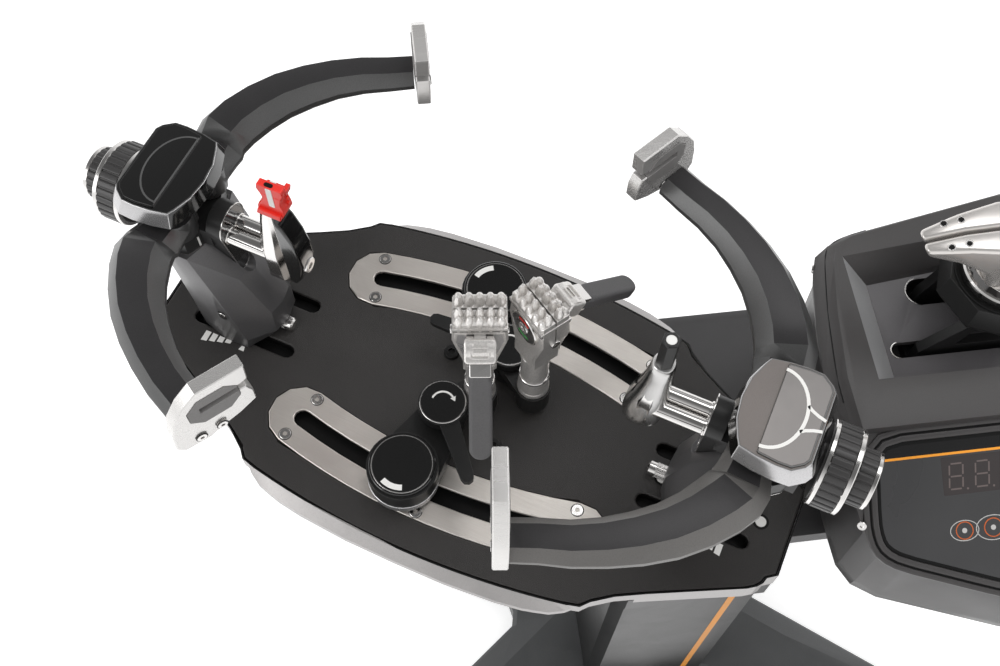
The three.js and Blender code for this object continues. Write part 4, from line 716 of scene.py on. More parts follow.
rail_spots = [(u * s, v * t) for u, v in ((120, 87), (111, 51)) for s in (-1, 1) for t in (-1, 1)] + [(0,
    -102.5), (0, 102.5)]
repeated(socket_screw("rail_screw", 4.6, 0.8, 3.4, 1.6), "rail_screw", table_spots(rail_spots, 0.5),
         "turntable", "rail_steel",
         bright_ring)
repeated(turned_ring("rail_screw_seat", 4.5, 5.2, 0.4, 0.75, 24, 0.1), "rail_screw_seat",
         table_spots(rail_spots), "turntable",
         "rail_steel", slot_shade)
repeated(socket_screw("deck_bolt", 6.2, 4.2, 5.4, 3), "deck_bolt",
         table_spots([(-31.7, 30.2), (31.7, -30.2)]), "turntable",
         "deck_black", finishes["clamp_black"])
plug_spots = table_spots([(160.6, 0), (241, -2)])
repeated(spun("deck_plug", [(0, -0.2), (4.2, -0.2), (4.2, 0.03), (3.7, 0.08), (0, 0.08)], 24), "deck_plug",
         plug_spots, "turntable",
         "deck_black", white_print)
repeated(turned_ring("plug_seat", 4.4, 6.2, 0.02, 0.25, 28, 0.08), "plug_seat", plug_spots, "turntable",
         "deck_black", slot_shade)
for end, first, inner, step in (("left", -222, -33, 1), ("right", 221, -31, -1)):
    for side in (-1, 1):
        for block in range(4):
            low = first + step * 6.3 * block
            reach = 9.4 - 1.9 * block
            outline = [(low, inner), (low, inner - reach), (low + step * 4.7, inner - reach + 0.8),
                       (low + step * 4.7, inner)]
            outline = [(u, -v * side) for u, v in outline]
            mark = plate("scale_block", outline if step * side > 0 else outline[::-1], 0.04, 0.14)
            settle(mark, f"scale_block_{end}_{side + 1}_{block}", "turntable", "deck_black", white_print,
                   place=table_place)


for number, (u, v) in enumerate(((-187.6, -35.8), (-187.6, 33.5), (-201, 34.2))):
    outline = [(u - 2.4, v - 1.8), (u + 2.4, v - 1.8), (u + 1.3, v + 2.2), (u - 1.3, v + 2.2)]
    settle(plate("scale_pointer", outline, 0.04, 0.14), f"scale_pointer_{number}", "turntable", "deck_black",
           white_print,
           place=table_place)


# Towers: caps, collars, hub faces and the trim on their bodies
def drop_outline(top_radius, foot_radius, top_z, foot_z):
    lean = math.degrees(math.asin((top_radius - foot_radius) / (top_z - foot_z)))
    return arc((0, top_z), top_radius, -lean, 180 + lean, 16) + arc((0, foot_z), foot_radius, 180 + lean,
        360 - lean, 8)


def panel_outline(inset):
    shape = inset_outline(cap_outline, inset)
    edge_half = 36.2 - inset
    return ([(-0.6 - inset * 0.2, -edge_half + 1), (-0.6 - inset * 0.2, edge_half - 1),
             (-1.6 - inset * 0.2, edge_half)]
            + [point for point in shape if point[0] < -4] + [(-1.6 - inset * 0.2, -edge_half)])


for side in sides:
    place = tower_place(side)
    body = f"tower_{side}"

    def add(obj, name, slot="cap_silver", material=None, spot=None, smooth=32):
        return settle(obj, f"{name}_{side}", body, slot, material, smooth, spot or place)

    # The right tower's cap face and panel take light grey finishes: painted reflection on its gloss black cap
    add(plate("cap_face", inset_outline(cap_outline, 1.7), cap_top - 0.4, cap_top + 0.5, 0.35), "cap_face",
        material=cap_face_painted_reflection if side == "right" else gloss_black)
    add(hoop("cap_edge_line", inset_outline(cap_outline, 1.2), 0.7, cap_top - 0.6, cap_top + 0.15),
        "cap_edge_line",
        material=cap_line)
    add(hoop("panel_rim", panel_outline(2.6), 1.2, cap_top, cap_top + 1.5, 0.2), "panel_rim",
        material=gloss_black)
    add(plate("cap_panel", panel_outline(3.6), cap_top, cap_top + 1.7, 0.4, 3), "cap_panel",
        material=cap_panel_painted_reflection if side == "right" else gloss_black)
    paint(dressed[f"tower_cap_{side}"], gloss_black, place, lambda _,
          normal: abs(normal.x) > 0.8 and abs(normal.z) < 0.6)
    printed = cap_top + 1.72
    if side == "left":
        bow = [(-2.6 - 22 * math.cos(a),
                29 * math.sin(a)) for a in (math.radians(-90 + 7.5 * i) for i in range(25))]
        lines = [(bow, 1.3), ([(-2.2, -30), (-2.2, 30)], 1.1)]
    else:
        bow = [(-1 - 21.6 * math.cos(a),
                28.6 * math.sin(a)) for a in (math.radians(-90 + 7.5 * i) for i in range(25))]
        lines = [(bow, 2.3), ([(-21.3, 9.6), (-24.5, 7.4), (-29, 5.4), (-34.4, 3.9)], 2.2),
                 ([(-21.3, -9.6), (-24.5, -7.4), (-29, -5.4), (-34.4, -3.9)], 2.2)]
    for number, (points, width) in enumerate(lines):
        add(plate("cap_print", ribbon(points, width), printed, printed + 0.1), f"cap_print_{number}",
            material=white_print if side == "right" else cap_line)

    add(hoop("collar_line", inset_outline([(x * 0.84, y * 0.84) for x, y in cap_outline], -0.5), 1.6, 117.7,
             118.6), "collar_line",
        material=bright_ring)
    add(hoop("cap_lower_line", inset_outline(cap_outline, 0.5), 0.6, 165.2, 166.2), "cap_lower_line",
        material=bright_ring)
    for end in (-1, 1):
        spot = Vector((13.45, 18.3))
        along = Vector((-0.363, 0.932)) * 0.75
        out = Vector((0.932, 0.363)) * 0.3
        tick = [tuple(spot - along - out), tuple(spot - along + out), tuple(spot + along + out),
                tuple(spot + along - out)]
        tick = [(x, y * end) for x, y in tick]
        add(plate("collar_tick", tick if end > 0 else tick[::-1], 119, 130), f"collar_tick_{end + 1}",
            material=white_print)
    face = place @ facing_x
    add(hoop("hub_rim", drop_outline(15.9, 6.4, 134.5, 82), 0.7, 31.6, 32.5, 0.2), "hub_rim",
        material=bright_ring, spot=face)
    add(plate("hub_face", drop_outline(14.9, 5.5, 134.5, 82), 31.5, 32.35, 0.3), "hub_face", "collar_black",
        gloss_black, face)
    for y in (-6.3, 6.3):
        add(turned_ring("rod_collar", 6.15, 7, 0, 1.8, 32, 0.3), f"rod_collar_{y > 0:d}",
            material=finishes["support_chrome"],
            spot=along_x(place, 32.2, y, 128))
    add(turned_ring("screw_collar", 3.7, 4.4, 0, 1.6, 28, 0.3), "screw_collar", material=bright_ring,
        spot=along_x(place, 32.2, 0, 116.5))

    tower_body = dressed[f"tower_body_{side}"]
    for end in (-1, 1):
        recess = on_surface(tower_body, place, (24, 34 * end, 45))
        pill = rounded_box(-4, 4, -7, 7, 3.9, 8)
        add(hoop("flank_recess_rim", inset_outline(pill, -0.5), 0.9, -0.2, 0.35),
            f"flank_recess_rim_{end + 1}",
            "tower_grey", finishes["tower_grey"], recess)
        add(plate("flank_recess", pill, -0.2, 0.12), f"flank_recess_{end + 1}", "tower_grey", slot_shade,
            recess)
        add(socket_screw("flank_screw", 3, 0.9, 2.4, 0.8), f"flank_screw_{end + 1}", "tower_grey",
            bright_ring, recess)
    reach = 49 if side == "left" else 45
    add(ribbed_barrel("lock_plunger", 6, 26, 0.5, 9), "lock_plunger", "tower_grey", bright_ring,
        along_x(place, reach, -2, 6.6))
    add(turned_disc("lock_plunger_tip", 5.8, 9, 15.5, 32, 1.4), "lock_plunger_tip", "tower_grey", bright_ring,
        along_x(place, reach, -2, 6.6))
    add(turned_disc("lock_plunger_stem", 3.2, 0, 12, 24), "lock_plunger_stem", "tower_grey",
        finishes["clamp_black"],
        along_x(place, reach - 10, -2, 6.6))

    # Knobs: ribbed barrels between bright rings
    outward = Matrix.Rotation(math.radians(-90), 4, "Y")
    knob = place @ Matrix.Translation((-44, 0, knob_axis)) @ outward
    big = ribbed_barrel("arm_knob", 30, 30, 1.3, 13.8)
    settle(big, f"arm_knob_{side}_ribs", f"knob_{side}", "knob_black", smooth=18,
           place=knob @ Matrix.Translation((0, 0, 3.5)))
    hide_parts(f"arm_knob_{side}")
    for number, (low, top) in enumerate(((0, 3.5), (17.3, 21))):
        settle(turned_ring("arm_knob_ring", 20, 29.8, low, top, 64, 0.6), f"arm_knob_{side}_ring_{number}",
               f"knob_{side}",
               "knob_black", bright_ring, place=knob)
    settle(spun("arm_knob_hub", [(0, -7.5), (12, -7.5), (12, -0.6), (26.6, -0.6), (26.6, 0.6), (0, 0.6)], 48),
           f"arm_knob_{side}_hub", f"knob_{side}", "knob_black", place=knob)
    settle(spun("arm_knob_dish", [(0, 20), (27, 20), (27, 21.25), (21, 21.25), (19.6, 20.6), (0, 20.6)], 48),
           f"arm_knob_{side}_dish", f"knob_{side}", "knob_black", place=knob)

    knob = place @ Matrix.Translation((-65.3, 0, knob_axis)) @ outward
    small = ribbed_barrel("support_knob", 20, 22, 1.1, 10)
    settle(small, f"support_knob_{side}_ribs", f"small_knob_{side}", "knob_black", smooth=18,
           place=knob @ Matrix.Translation((0, 0, 1.6)))
    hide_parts(f"support_knob_{side}")
    for number, (low, top) in enumerate(((0.1, 1.6), (11.6, 14.7))):
        settle(turned_ring("support_knob_ring", 12, 19.8, low, top, 56, 0.5),
               f"support_knob_{side}_ring_{number}",
               f"small_knob_{side}", "knob_black", bright_ring, place=knob)
    settle(spun("support_knob_face", [(0, 12), (17.4, 12), (17.4, 14.9), (15.6, 14.9), (13.4, 14), (0, 13.6)],
                48),
           f"support_knob_{side}_face", f"small_knob_{side}", "knob_black", place=knob)

# Arms: near-black tops over lighter flanks
for name in arm_names:
    # The right-front arm's flanks take the lighter copy: painted light
    flank = arm_flank_painted_light if name == "right_front" else arm_flank
    paint(dressed[f"arm_{name}"], flank, machine_place, lambda _, normal: normal.z < 0.86)

# Frame supports: screws through their feet
support_spots = {"left_front": (-90.6, -124.0, -122.4), "left_rear": (-90.6, 124.0, 122.4),
                 "right_front": (70.2, -111.7, -65.2), "right_rear": (70.2, 111.7, 65.2)}
for name, (u, v, turn) in support_spots.items():
    place = table_place @ Matrix.Translation((u, v, 0)) @ Matrix.Rotation(math.radians(turn), 4, "Z")
    arm_body = body_of[f"arm_{name}"]
    for face, back in ((4.9, False), (-4.9, True)):
        spots = [along_y(place, w, face, z, back) for w, z in ((27.9, 172.6), (42.6, 171))]
        repeated(socket_screw("support_screw", 3.4, 0.7, 2.8, 0.9), f"support_screw_{name}_{back:d}", spots,
                 arm_body,
                 "support_aluminium", bright_ring)
        repeated(turned_ring("support_screw_seat", 3.3, 4.1, 0.02, 0.3, 24, 0.08),
                 f"support_screw_seat_{name}_{back:d}",
                 spots, arm_body, "support_aluminium", slot_shade)


# Left inner support: gloss insert, screw and the red throat adapter
def across(obj, name, body, slot, material=None, side="left", smooth=32):
    """Piece whose outline is in a tower's XZ plane."""
    return settle(obj, name, body, slot, material, smooth, tower_place(side) @ facing_front)


insert = [(77, 100), (84, 97), (90, 108), (93, 125), (92, 140), (89, 155), (83, 170), (77, 178)]
across(plate("support_insert", insert, -9, 9, 2, 4), "support_insert", "inner_left", "support_chrome",
       gloss_black)
settle(socket_screw("insert_screw", 6.2, 2.2, 5.4, 1.8), "insert_screw", "inner_left", "support_chrome",
       bright_ring, place=along_x(tower_place("left"), 91.6, 0, 118))
adapter_low = [(65, 180.3), (84, 180.3), (86.5, 186), (86, 191), (84.6, 196), (86.4, 204.5), (70, 204.5),
               (71.4, 200),
               (70.6, 195), (67.4, 190.4), (66, 187)]
adapter_high = [(70, 204), (86.4, 204), (88.4, 208), (88, 213.6), (69.4, 213.6), (68.4, 208.4)]
base_piece = across(plate("adapter_base", adapter_low, -6.4, 5.4, 0.8, 3), "adapter_base", "inner_left",
                    "adapter_red")
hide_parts("throat_adapter")
across(plate("adapter_wing", adapter_high, -0.4, 5.4, 0.8, 3), "adapter_wing", "inner_left", "adapter_red")
across(plate("adapter_stop", [(84, 203), (87.4, 203), (88.6, 209), (85, 209)], -6.4, 0, 0.5), "adapter_stop",
       "inner_left",
       "adapter_red")
across(plate("adapter_lip", [(65.4, 180.4), (84, 180.4), (84.4, 185.6), (67, 186.4)], 5, 8, 0.8, 3),
       "adapter_lip",
       "inner_left", "adapter_red")
across(plate("adapter_soft_block", rounded_box(76, 80.6, 192, 212.4, 1), -2, 5.9, 0.4), "adapter_soft_block",
       "inner_left", "adapter_red", white_print)
adapter_top = tower_place("left") @ Matrix.Translation((77.6, -3, 0))
settle(plate("adapter_eye", rounded_box(-3.2, 3.2, -1.6, 1.6, 1.5, 6), 213.5, 213.8), "adapter_eye",
       "inner_left", "adapter_red", slot_shade, place=adapter_top)
for number, z in enumerate((191, 197, 203)):
    settle(turned_disc("adapter_bump", 1.6, 0, 1.4, 16, 0.4), f"adapter_bump_{number}", "inner_left",
           "adapter_red",
           place=along_x(tower_place("left"), 85.6, 2.6, z))


# Right inner support: polished thumb over its block, and the white disc in its peg
def soft_ring(centre, reach, half, z, steps=36, power=2.4):
    points = []
    for i in range(steps):
        angle = math.tau * i / steps
        c, s = math.cos(angle), math.sin(angle)
        points.append((centre + reach * math.copysign(abs(c) ** (2 / power), c),
                       half * math.copysign(abs(s) ** (2 / power), s), z))
    return points


thumb_rings = [(77, 9, 7.4, 97.2), (77, 12.3, 10, 99), (77, 14.2, 12.6, 104), (76.5, 14.8, 13.6, 112),
               (76, 14.4, 13.8, 122),
               (75, 13.2, 13.2, 132), (74, 11.4, 11.8, 144), (73, 9.8, 10.2, 156), (72.4, 9.0, 9.2, 166),
               (72, 8.5, 8.5, 175),
               (71.9, 7.6, 7.6, 180.5), (71.8, 6.6, 6.6, 182)]
settle(lofted("support_thumb", [soft_ring(*ring) for ring in thumb_rings]), "support_thumb", "inner_right",
       "support_chrome",
       thumb_satin, smooth=60, place=tower_place("right"))
peg_place = tower_place("right") @ Matrix.Translation((71.8, 0, 0))
six_sides = [(6.4 * math.cos(math.radians(60 * i + 30)),
              6.4 * math.sin(math.radians(60 * i + 30))) for i in range(6)]
peg = settle(plate("frame_peg", six_sides, 180, 212.6, 0.7, 3), "frame_peg", "inner_right", "clamp_black",
             place=peg_place)
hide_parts("head_peg")
settle(turned_ring("peg_rim", 3.6, 5, 212.2, 213, 32, 0.3), "peg_rim", "inner_right", "clamp_black",
       place=peg_place)
settle(turned_disc("peg_lining", 3.6, 211, 212.85, 32, 0.3), "peg_lining", "inner_right", "clamp_black",
       white_print,
       place=peg_place)


# String clamps: gloss discs with plain marks, and the parts of the heads and handles
def arrow_mark(radius, width, start, end):
    """A bent arrow, as the outlines of its shaft and its head."""
    tip = math.radians(end)
    middle = Vector((radius * math.cos(tip), radius * math.sin(tip)))
    along = Vector((-math.sin(tip), math.cos(tip))) * (1 if end > start else -1)
    out = Vector((math.cos(tip), math.sin(tip)))
    head = [middle + out * width * 1.5, middle + along * width * 2.6, middle - out * width * 1.5]
    shaft = ribbon(arc((0, 0), radius, start, end, 14), width)
    return [shaft, [tuple(corner) for corner in (head if end > start else head[::-1])]]


clamp_places = {
    "front": {"shoe": (-19, -82.63), "disc": (-11.4, -27.5), "flag": 215, "arrow": (150, 20)},
    "rear": {"shoe": (-17, 82.70), "disc": (15, 37.5), "flag": 88, "arrow": (170, 40)},
}
for end, spots in clamp_places.items():
    swivel, lever, clamp, handle = (f"{part}_{end}" for part in ("swivel", "lever", "clamp", "handle"))
    cap = machine_place @ Matrix.Translation((*(Matrix.Rotation(table_turn, 4,
                                                                "Z") @ Vector((*spots["shoe"], 0))).xy, 0))
    settle(turned_disc("clamp_cap", 24.9, 32.4, 33.5, 64, 0.5), f"clamp_cap_{end}", swivel, "clamp_black",
           gloss_black, place=cap)
    settle(turned_ring("clamp_cap_ring", 22.3, 23.1, 33.2, 33.62, 64, 0.15), f"clamp_cap_ring_{end}", swivel,
           "clamp_black",
           bright_ring, place=cap)
    settle(turned_ring("clamp_cap_skirt", 25.5, 27.3, 5.5, 12.5, 64, 0.4), f"clamp_cap_skirt_{end}", swivel,
           "clamp_black",
           finishes["cap_silver"], place=cap)
    turn = spots["flag"]
    marks = [ribbon(arc((0, 0), 18.6, turn, turn + 50, 12), 4.4)]
    for number, mark in enumerate(marks):
        settle(plate("clamp_cap_mark", mark, 33.52, 33.6), f"clamp_cap_mark_{end}_{number}", swivel,
               "clamp_black", white_print,
               place=cap)

    disc = machine_place @ Matrix.Translation((*(joints[f"lever_{end}_turn"]["pos_m"][i] / MM
                                                 - (axis_x, axis_y)[i] / MM for i in (0, 1)), 0))
    settle(turned_disc("lever_cap", 16.9, 39.8, 40.5, 56), f"lever_cap_{end}", lever, "clamp_black",
           gloss_black, place=disc)
    settle(turned_ring("lever_ring", 16.8, 17.7, 39.6, 40.6, 56, 0.25), f"lever_ring_{end}", lever,
           "clamp_black", bright_ring,
           place=disc)
    for number, mark in enumerate(arrow_mark(8.5, 1.5, *spots["arrow"])):
        settle(plate("lever_mark", mark if spots["arrow"][1] > spots["arrow"][0] else mark[::-1], 40.52,
                     40.6),
               f"lever_mark_{end}_{number}", lever, "clamp_black", white_print, place=disc)

    place = clamp_place(end)

    def add_clamp(obj, name, material=None, spot=None, smooth=32):
        return settle(obj, f"{name}_{end}", clamp, "clamp_silver", material, smooth, spot or place)

    add_clamp(spun("post_sleeve", [(9.6, 31.2), (11.9, 31.2), (12.3, 32), (12.3, 36), (11.9, 36.8), (11.6,
        37.4), (11.6, 48.6),
                                   (11.2, 49.6), (9.6, 49.6)], 48, closed=True), "post_sleeve")
    add_clamp(turned_ring("post_groove", 10, 11.0, 49.6, 52, 48, 0.2), "post_groove", slot_shade)
    add_clamp(turned_ring("post_band", 10, 11.3, 52, 54.6, 48, 0.5), "post_band", bright_ring)
    add_clamp(turned_ring("post_top_band", 10, 11.6, 84, 90, 48, 0.8), "post_top_band")

    bracket = [(-11.4, 98), (-6, 93), (6, 93), (11.4, 98), (12, 108), (18.6, 136), (17.2, 148.8),
               (-17.2, 148.8), (-18.6, 136),
               (-12, 108)]
    front = place @ facing_front
    add_clamp(hoop("head_bracket", bracket, 2.2, 11.6, 12.5, 0.3), "head_bracket", spot=front)
    add_clamp(plate("head_field", inset_outline(bracket, 2.2), 11.6, 12.15), "head_field",
              finishes["cap_silver"], front)
    jaw_sides = [(-18.2, -12.2), (18.2, -12.2), (18.2, 12.2), (-18.2, 12.2)]
    add_clamp(hoop("jaw_groove", inset_outline(jaw_sides, -0.05), 0.6, 150.4, 151.6), "jaw_groove",
              slot_shade)
    add_clamp(hoop("jaw_ledge", inset_outline(jaw_sides, -0.5), 1.2, 152, 155.4, 0.35), "jaw_ledge")
    tooth_profile = [(0, 158), (3.3, 158), (3.5, 161), (3.3, 163.6), (2.5, 166), (1.7, 168), (1.2, 169.3),
                     (0, 169.7)]
    root_profile = [(0, 150.8), (3.2, 150.8), (3.4, 158), (3.1, 161), (2.2, 163.6), (1.1, 165.2), (0, 165.6)]
    for row_name, profile, rows in (("clamp_tooth", tooth_profile, (-4.7, 4.7)),
                                    ("tooth_root", root_profile, (-9.2, 9.2))):
        spots_in_row = [place @ Matrix.Translation((7.2 * (i - 2), row, 0)) for i in range(5) for row in rows]
        repeated(spun(row_name, profile, 20), f"{row_name}_{end}", spots_in_row, clamp, "clamp_silver",
                 smooth=60)
    side_screw = [place @ Matrix.Translation((19 * s, 0, 132)) @ Matrix.Rotation(math.radians(90 * s), 4,
        "Y") for s in (-1, 1)]
    repeated(socket_screw("head_screw", 3.6, 1.4, 3, 1.1), f"head_screw_{end}", side_screw, clamp,
             "clamp_silver", bright_ring)

    dial = along_y(place, 0, 11.8, 140)
    add_clamp(turned_disc("dial", 13.5, 0, 1.7, 48, 0.5), "dial", gloss_black, dial)
    add_clamp(turned_ring("dial_rim", 12.6, 14, 0, 1.9, 48, 0.5), "dial_rim", bright_ring, dial)
    add_clamp(socket_screw("dial_screw", 5, 2.4, 4.2, 0.6), "dial_screw", bright_ring, dial)
    for number, (start, material) in enumerate(((235, dial_red), (55, dial_green))):
        add_clamp(plate("dial_arc", ribbon(arc((0, 0), 9, start, start + 70, 10), 2.8), 1.72, 1.8),
                  f"dial_arc_{number}", material,
                  dial)

    # Handle: its own frame has y along it and z out of its upper face
    slope = math.radians(33)
    lean = Matrix(((-1, 0, 0, 0), (0, -math.cos(slope), -math.sin(slope), 0),
                   (0, -math.sin(slope), math.cos(slope), 0),
                   (0, 0, 0, 1)))
    grip = place @ Matrix.Translation((0, -21.3, 143)) @ lean
    root = dressed[f"clamp_handle_{end}"]
    paint(root, finishes["clamp_silver"], grip, lambda middle, _: middle.y < 17.2)

    def add_handle(obj, name, material=None, smooth=40):
        return settle(obj, f"{name}_{end}", handle, "grip_grey", material, smooth, grip)

    add_handle(plate("grip_sleeve", rounded_box(-8, 8, 17.4, 75.2, 7.6, 8), -5.6, 5.6, 2.8, 5), "grip_sleeve")
    add_handle(plate("grip_band", rounded_box(-7.6, 7.6, 9, 19, 1.5), -6.2, 6.2, 1, 3), "grip_band",
               finishes["support_chrome"])
    add_handle(plate("root_block", rounded_box(-11, 11, -7.4, 9.6, 3, 6), -6.4, 7.6, 1.6, 4), "root_block",
               finishes["clamp_silver"])
    add_handle(hoop("root_frame", rounded_box(-7, 7, -2.6, 6.2, 2.4, 6), 1.3, 7, 8.9, 0.45), "root_frame",
               finishes["clamp_silver"])


# Tension head: lips round the panel, its print, painted highlights at the slots' ends, the trough's lit wall and
# the painted shade of its lower walls
lean_angle = math.atan(0.52)
panel_place = machine_place @ Matrix.Translation((0, -95, 79)) @ Matrix.Rotation(lean_angle, 4, "X")
panel_shares = [(0.0506, 0.4), (0.0405, 0.2521), (0.0582, 0.2164), (0.2506, 0.1479), (0.481, 0.0795),
                (0.6582, 0.0521),
                (0.8101, 0.0712), (0.8759, 0.1288), (0.8911, 0.2329), (0.8785, 0.3781), (0.8557, 0.4)]
glass = [(260 + a * 395, (-155 + b * 365) / math.cos(lean_angle)) for a, b in panel_shares]


def smoothed(outline, rounds=2):
    """Outline with its corners cut again and again, which rounds them."""
    for _ in range(rounds):
        drawn = []
        for i, corner in enumerate(outline):
            here, after = Vector(corner), Vector(outline[(i + 1) % len(outline)])
            reach = min(0.25, 9 / max((after - here).length, 1))
            drawn += [tuple(here.lerp(after, reach)), tuple(after.lerp(here, reach))]
        outline = drawn
    return outline


def add_panel(obj, name, material, slot="console_grey"):
    return settle(obj, name, "mast", slot, material, 40, panel_place)


glass = smoothed(glass)
add_panel(hoop("glass_gap", inset_outline(glass, -1.6), 2.2, -0.6, 0.9), "glass_gap", slot_shade)
add_panel(hoop("inner_lip", inset_outline(glass, -6.6), 4.6, -1.5, 2.4, 1.4), "inner_lip",
          finishes["console_grey"])
add_panel(hoop("lip_groove", inset_outline(glass, -8), 1.8, -1, 0.5), "lip_groove", slot_shade)
add_panel(hoop("outer_lip", inset_outline(glass, -12.4), 4.4, -3, 1.8, 1.5), "outer_lip",
          finishes["console_grey"])


def below(outline, limit):
    """Part of an outline whose second coordinate is under a limit."""
    kept = []
    for i, (x, y) in enumerate(outline):
        x0, y0 = outline[i - 1]
        if (y0 < limit) != (y < limit):
            kept.append((x0 + (x - x0) * (limit - y0) / (y - y0), limit))
        if y < limit:
            kept.append((x, y))
    return kept


field = below(inset_outline(glass, 0.7), -21)
left_edge = min(x for x, t in field if t > -21.5)
right_edge = max(x for x, t in field if t > -21.5)
add_panel(plate("glass_field", field, 0.68, 0.8), "glass_field", glass_field, "panel_glass")
add_panel(plate("orange_rule", [(left_edge + 0.6, -21), (right_edge - 0.4, -21), (right_edge - 0.4, -19.2),
                                (left_edge + 0.6, -19.2)], 0.7, 0.9), "orange_rule", orange_line,
                                "panel_glass")
add_panel(plate("digit_window", rounded_box(324.5, 408, -50, -22.5, 1), 0.8, 0.86), "digit_window",
          window_tint, "panel_glass")
segments = [((0.1, 1), (0.9, 1)), ((1, 0.94), (1, 0.56)), ((1, 0.44), (1, 0.06)), ((0.1, 0), (0.9, 0)),
            ((0, 0.06), (0, 0.44)),
            ((0, 0.56), (0, 0.94)), ((0.1, 0.5), (0.9, 0.5))]
for digit in range(4):
    for number, (start, stop) in enumerate(segments):
        ends = [(329 + 19.4 * digit + 10 * a + 1.5 * b, -45.9 + 18.2 * b) for a, b in (start, stop)]
        add_panel(plate("digit_bar", ribbon(ends, 1.1), 0.86, 0.92), f"digit_{digit}_bar_{number}", digit_bar,
                  "panel_glass")
    add_panel(plate("digit_dot", circle(0.8, 12, (342.5 + 19.4 * digit, -46.4)), 0.86, 0.92),
              f"digit_dot_{digit}", digit_bar,
              "panel_glass")


def oval(centre, across_x, across_y, steps=40):
    return [(centre[0] + across_x * math.cos(math.tau * i / steps),
             centre[1] + across_y * math.sin(math.tau * i / steps))
            for i in range(steps)]


for number, (centre, outer, inner) in enumerate((((337, -76.2), (10.8, 7.6), 6.6), ((358.4, -76.2), (13, 9.2),
    7),
                                                 ((381, -76.2), (10.8, 7.6), 6.6))):
    add_panel(hoop("button_ring", oval(centre, *outer), 0.6, 0.8, 0.95), f"button_ring_{number}", digit_light,
              "panel_glass")
    add_panel(hoop("button_core", oval(centre, inner, inner), 0.8, 0.8, 0.97), f"button_core_{number}",
              button_copper, "panel_glass")
    add_panel(plate("button_pip", oval(centre, 1.9, 1.9, 20), 0.8, 0.92), f"button_pip_{number}", digit_light,
              "panel_glass")


paint(dressed["console_body"], trough_light, machine_place,
      lambda middle,
      normal: 61 < middle.z < 88 and 295 < middle.x < 345 and -70 < middle.y < 70 and normal.x > 0.35)
# The shell's lower walls, which face sideways, take the darker copy: painted shade
paint(dressed["console_body"], console_wall_painted_shade, machine_place, lambda middle,
      normal: middle.z < 82 and normal.z < 0.3
      and (middle.x < 285 or middle.y < -120 or middle.y > 95))
paint(dressed["console_body"], trough_floor, machine_place,
      lambda middle, normal: 55 < middle.z < 66 and normal.z > 0.9 and middle.x > 290 and abs(middle.y) < 90)
# Bright strips round the left halves of the slots' ends: painted highlight
for number, (x, y, radius) in enumerate(((317, -24, 6.5), (342, 24, 11.5))):
    end_arc = arc((x + radius, y), radius + 0.3, 100, 262, 14)
    settle(plate("slot_end", ribbon(end_arc, 0.9), 59.8, 60.5), f"slot_end_{number}", "mast", "console_grey",
           bright_ring,
           place=machine_place)

rim_shares = [(0.005, 0.326), (0.008, 0.266), (0.033, 0.219), (0.068, 0.184), (0.318, 0.088), (0.478, 0.033),
              (0.656, 0),
              (0.835, 0.019), (0.96, 0.11), (1, 0.247), (1, 0.795), (0.967, 0.918), (0.873, 0.986),
              (0.707, 1),
              (0.42, 0.932), (0.095, 0.866), (0.055, 0.846), (0.042, 0.81), (0.02, 0.69), (0.003, 0.54)]
rim_outline = smoothed([(260 + a * 395, -250 + b * 365) for a, b in rim_shares], 2)
seam = [(x, y) for x, y in inset_outline(rim_outline, -0.2) if y > -80 and x < 330]
settle(plate("rim_seam", ribbon(seam, 0.9), 83.2, 84.1), "rim_seam", "mast", "console_grey", slot_shade,
       place=machine_place)

# Tension head's back: cooling slots, bare rating plate, mains inlet, and the screws of its cover
shell = dressed["console_body"]
vents = [on_surface(shell, machine_place, (430 + 9 * number, 200, 40)) for number in range(9)]
repeated(plate("vent_slot", rounded_box(-1.7, 1.7, -15, 15, 1.6), -0.3, 0.15), "vent_slot", vents, "mast",
         "console_grey", slot_shade)
inlet = on_surface(shell, machine_place, (550, 200, 28))
settle(plate("inlet_frame", rounded_box(-17, 17, -13, 13, 3), 0, 1.6, 0.5), "inlet_frame", "mast",
       "console_grey",
       finishes["clamp_black"], place=inlet)
settle(plate("inlet_well", rounded_box(-12, 12, -8.5, 8.5, 3.5), 1.6, 1.7), "inlet_well", "mast",
       "console_grey", slot_shade,
       place=inlet)
for number, x in enumerate((-5.5, 0, 5.5)):
    settle(plate("inlet_pin", rounded_box(x - 1, x + 1, -3, 3, 0.4), 1.7, 4.2, 0.3), f"inlet_pin_{number}",
           "mast", "console_grey",
           bright_ring, place=inlet)
settle(plate("rating_plate", rounded_box(-22, 22, -11, 11, 2), 0, 0.5, 0.2), "rating_plate", "mast",
       "console_grey",
       finishes["cap_silver"], place=on_surface(shell, machine_place, (370, 200, 40)))
cover_screws = [on_surface(shell, machine_place, point) for point in ((320, 200, 66), (610, 200, 66),
    (320, 200, 14),
                                                                      (610, 200, 14), (240, -165, 62),
                                                                          (240, 60, 62))]
repeated(socket_screw("cover_screw", 3.4, 1.1, 2.6, 0.9), "cover_screw", cover_screws, "mast", "console_grey",
         bright_ring)

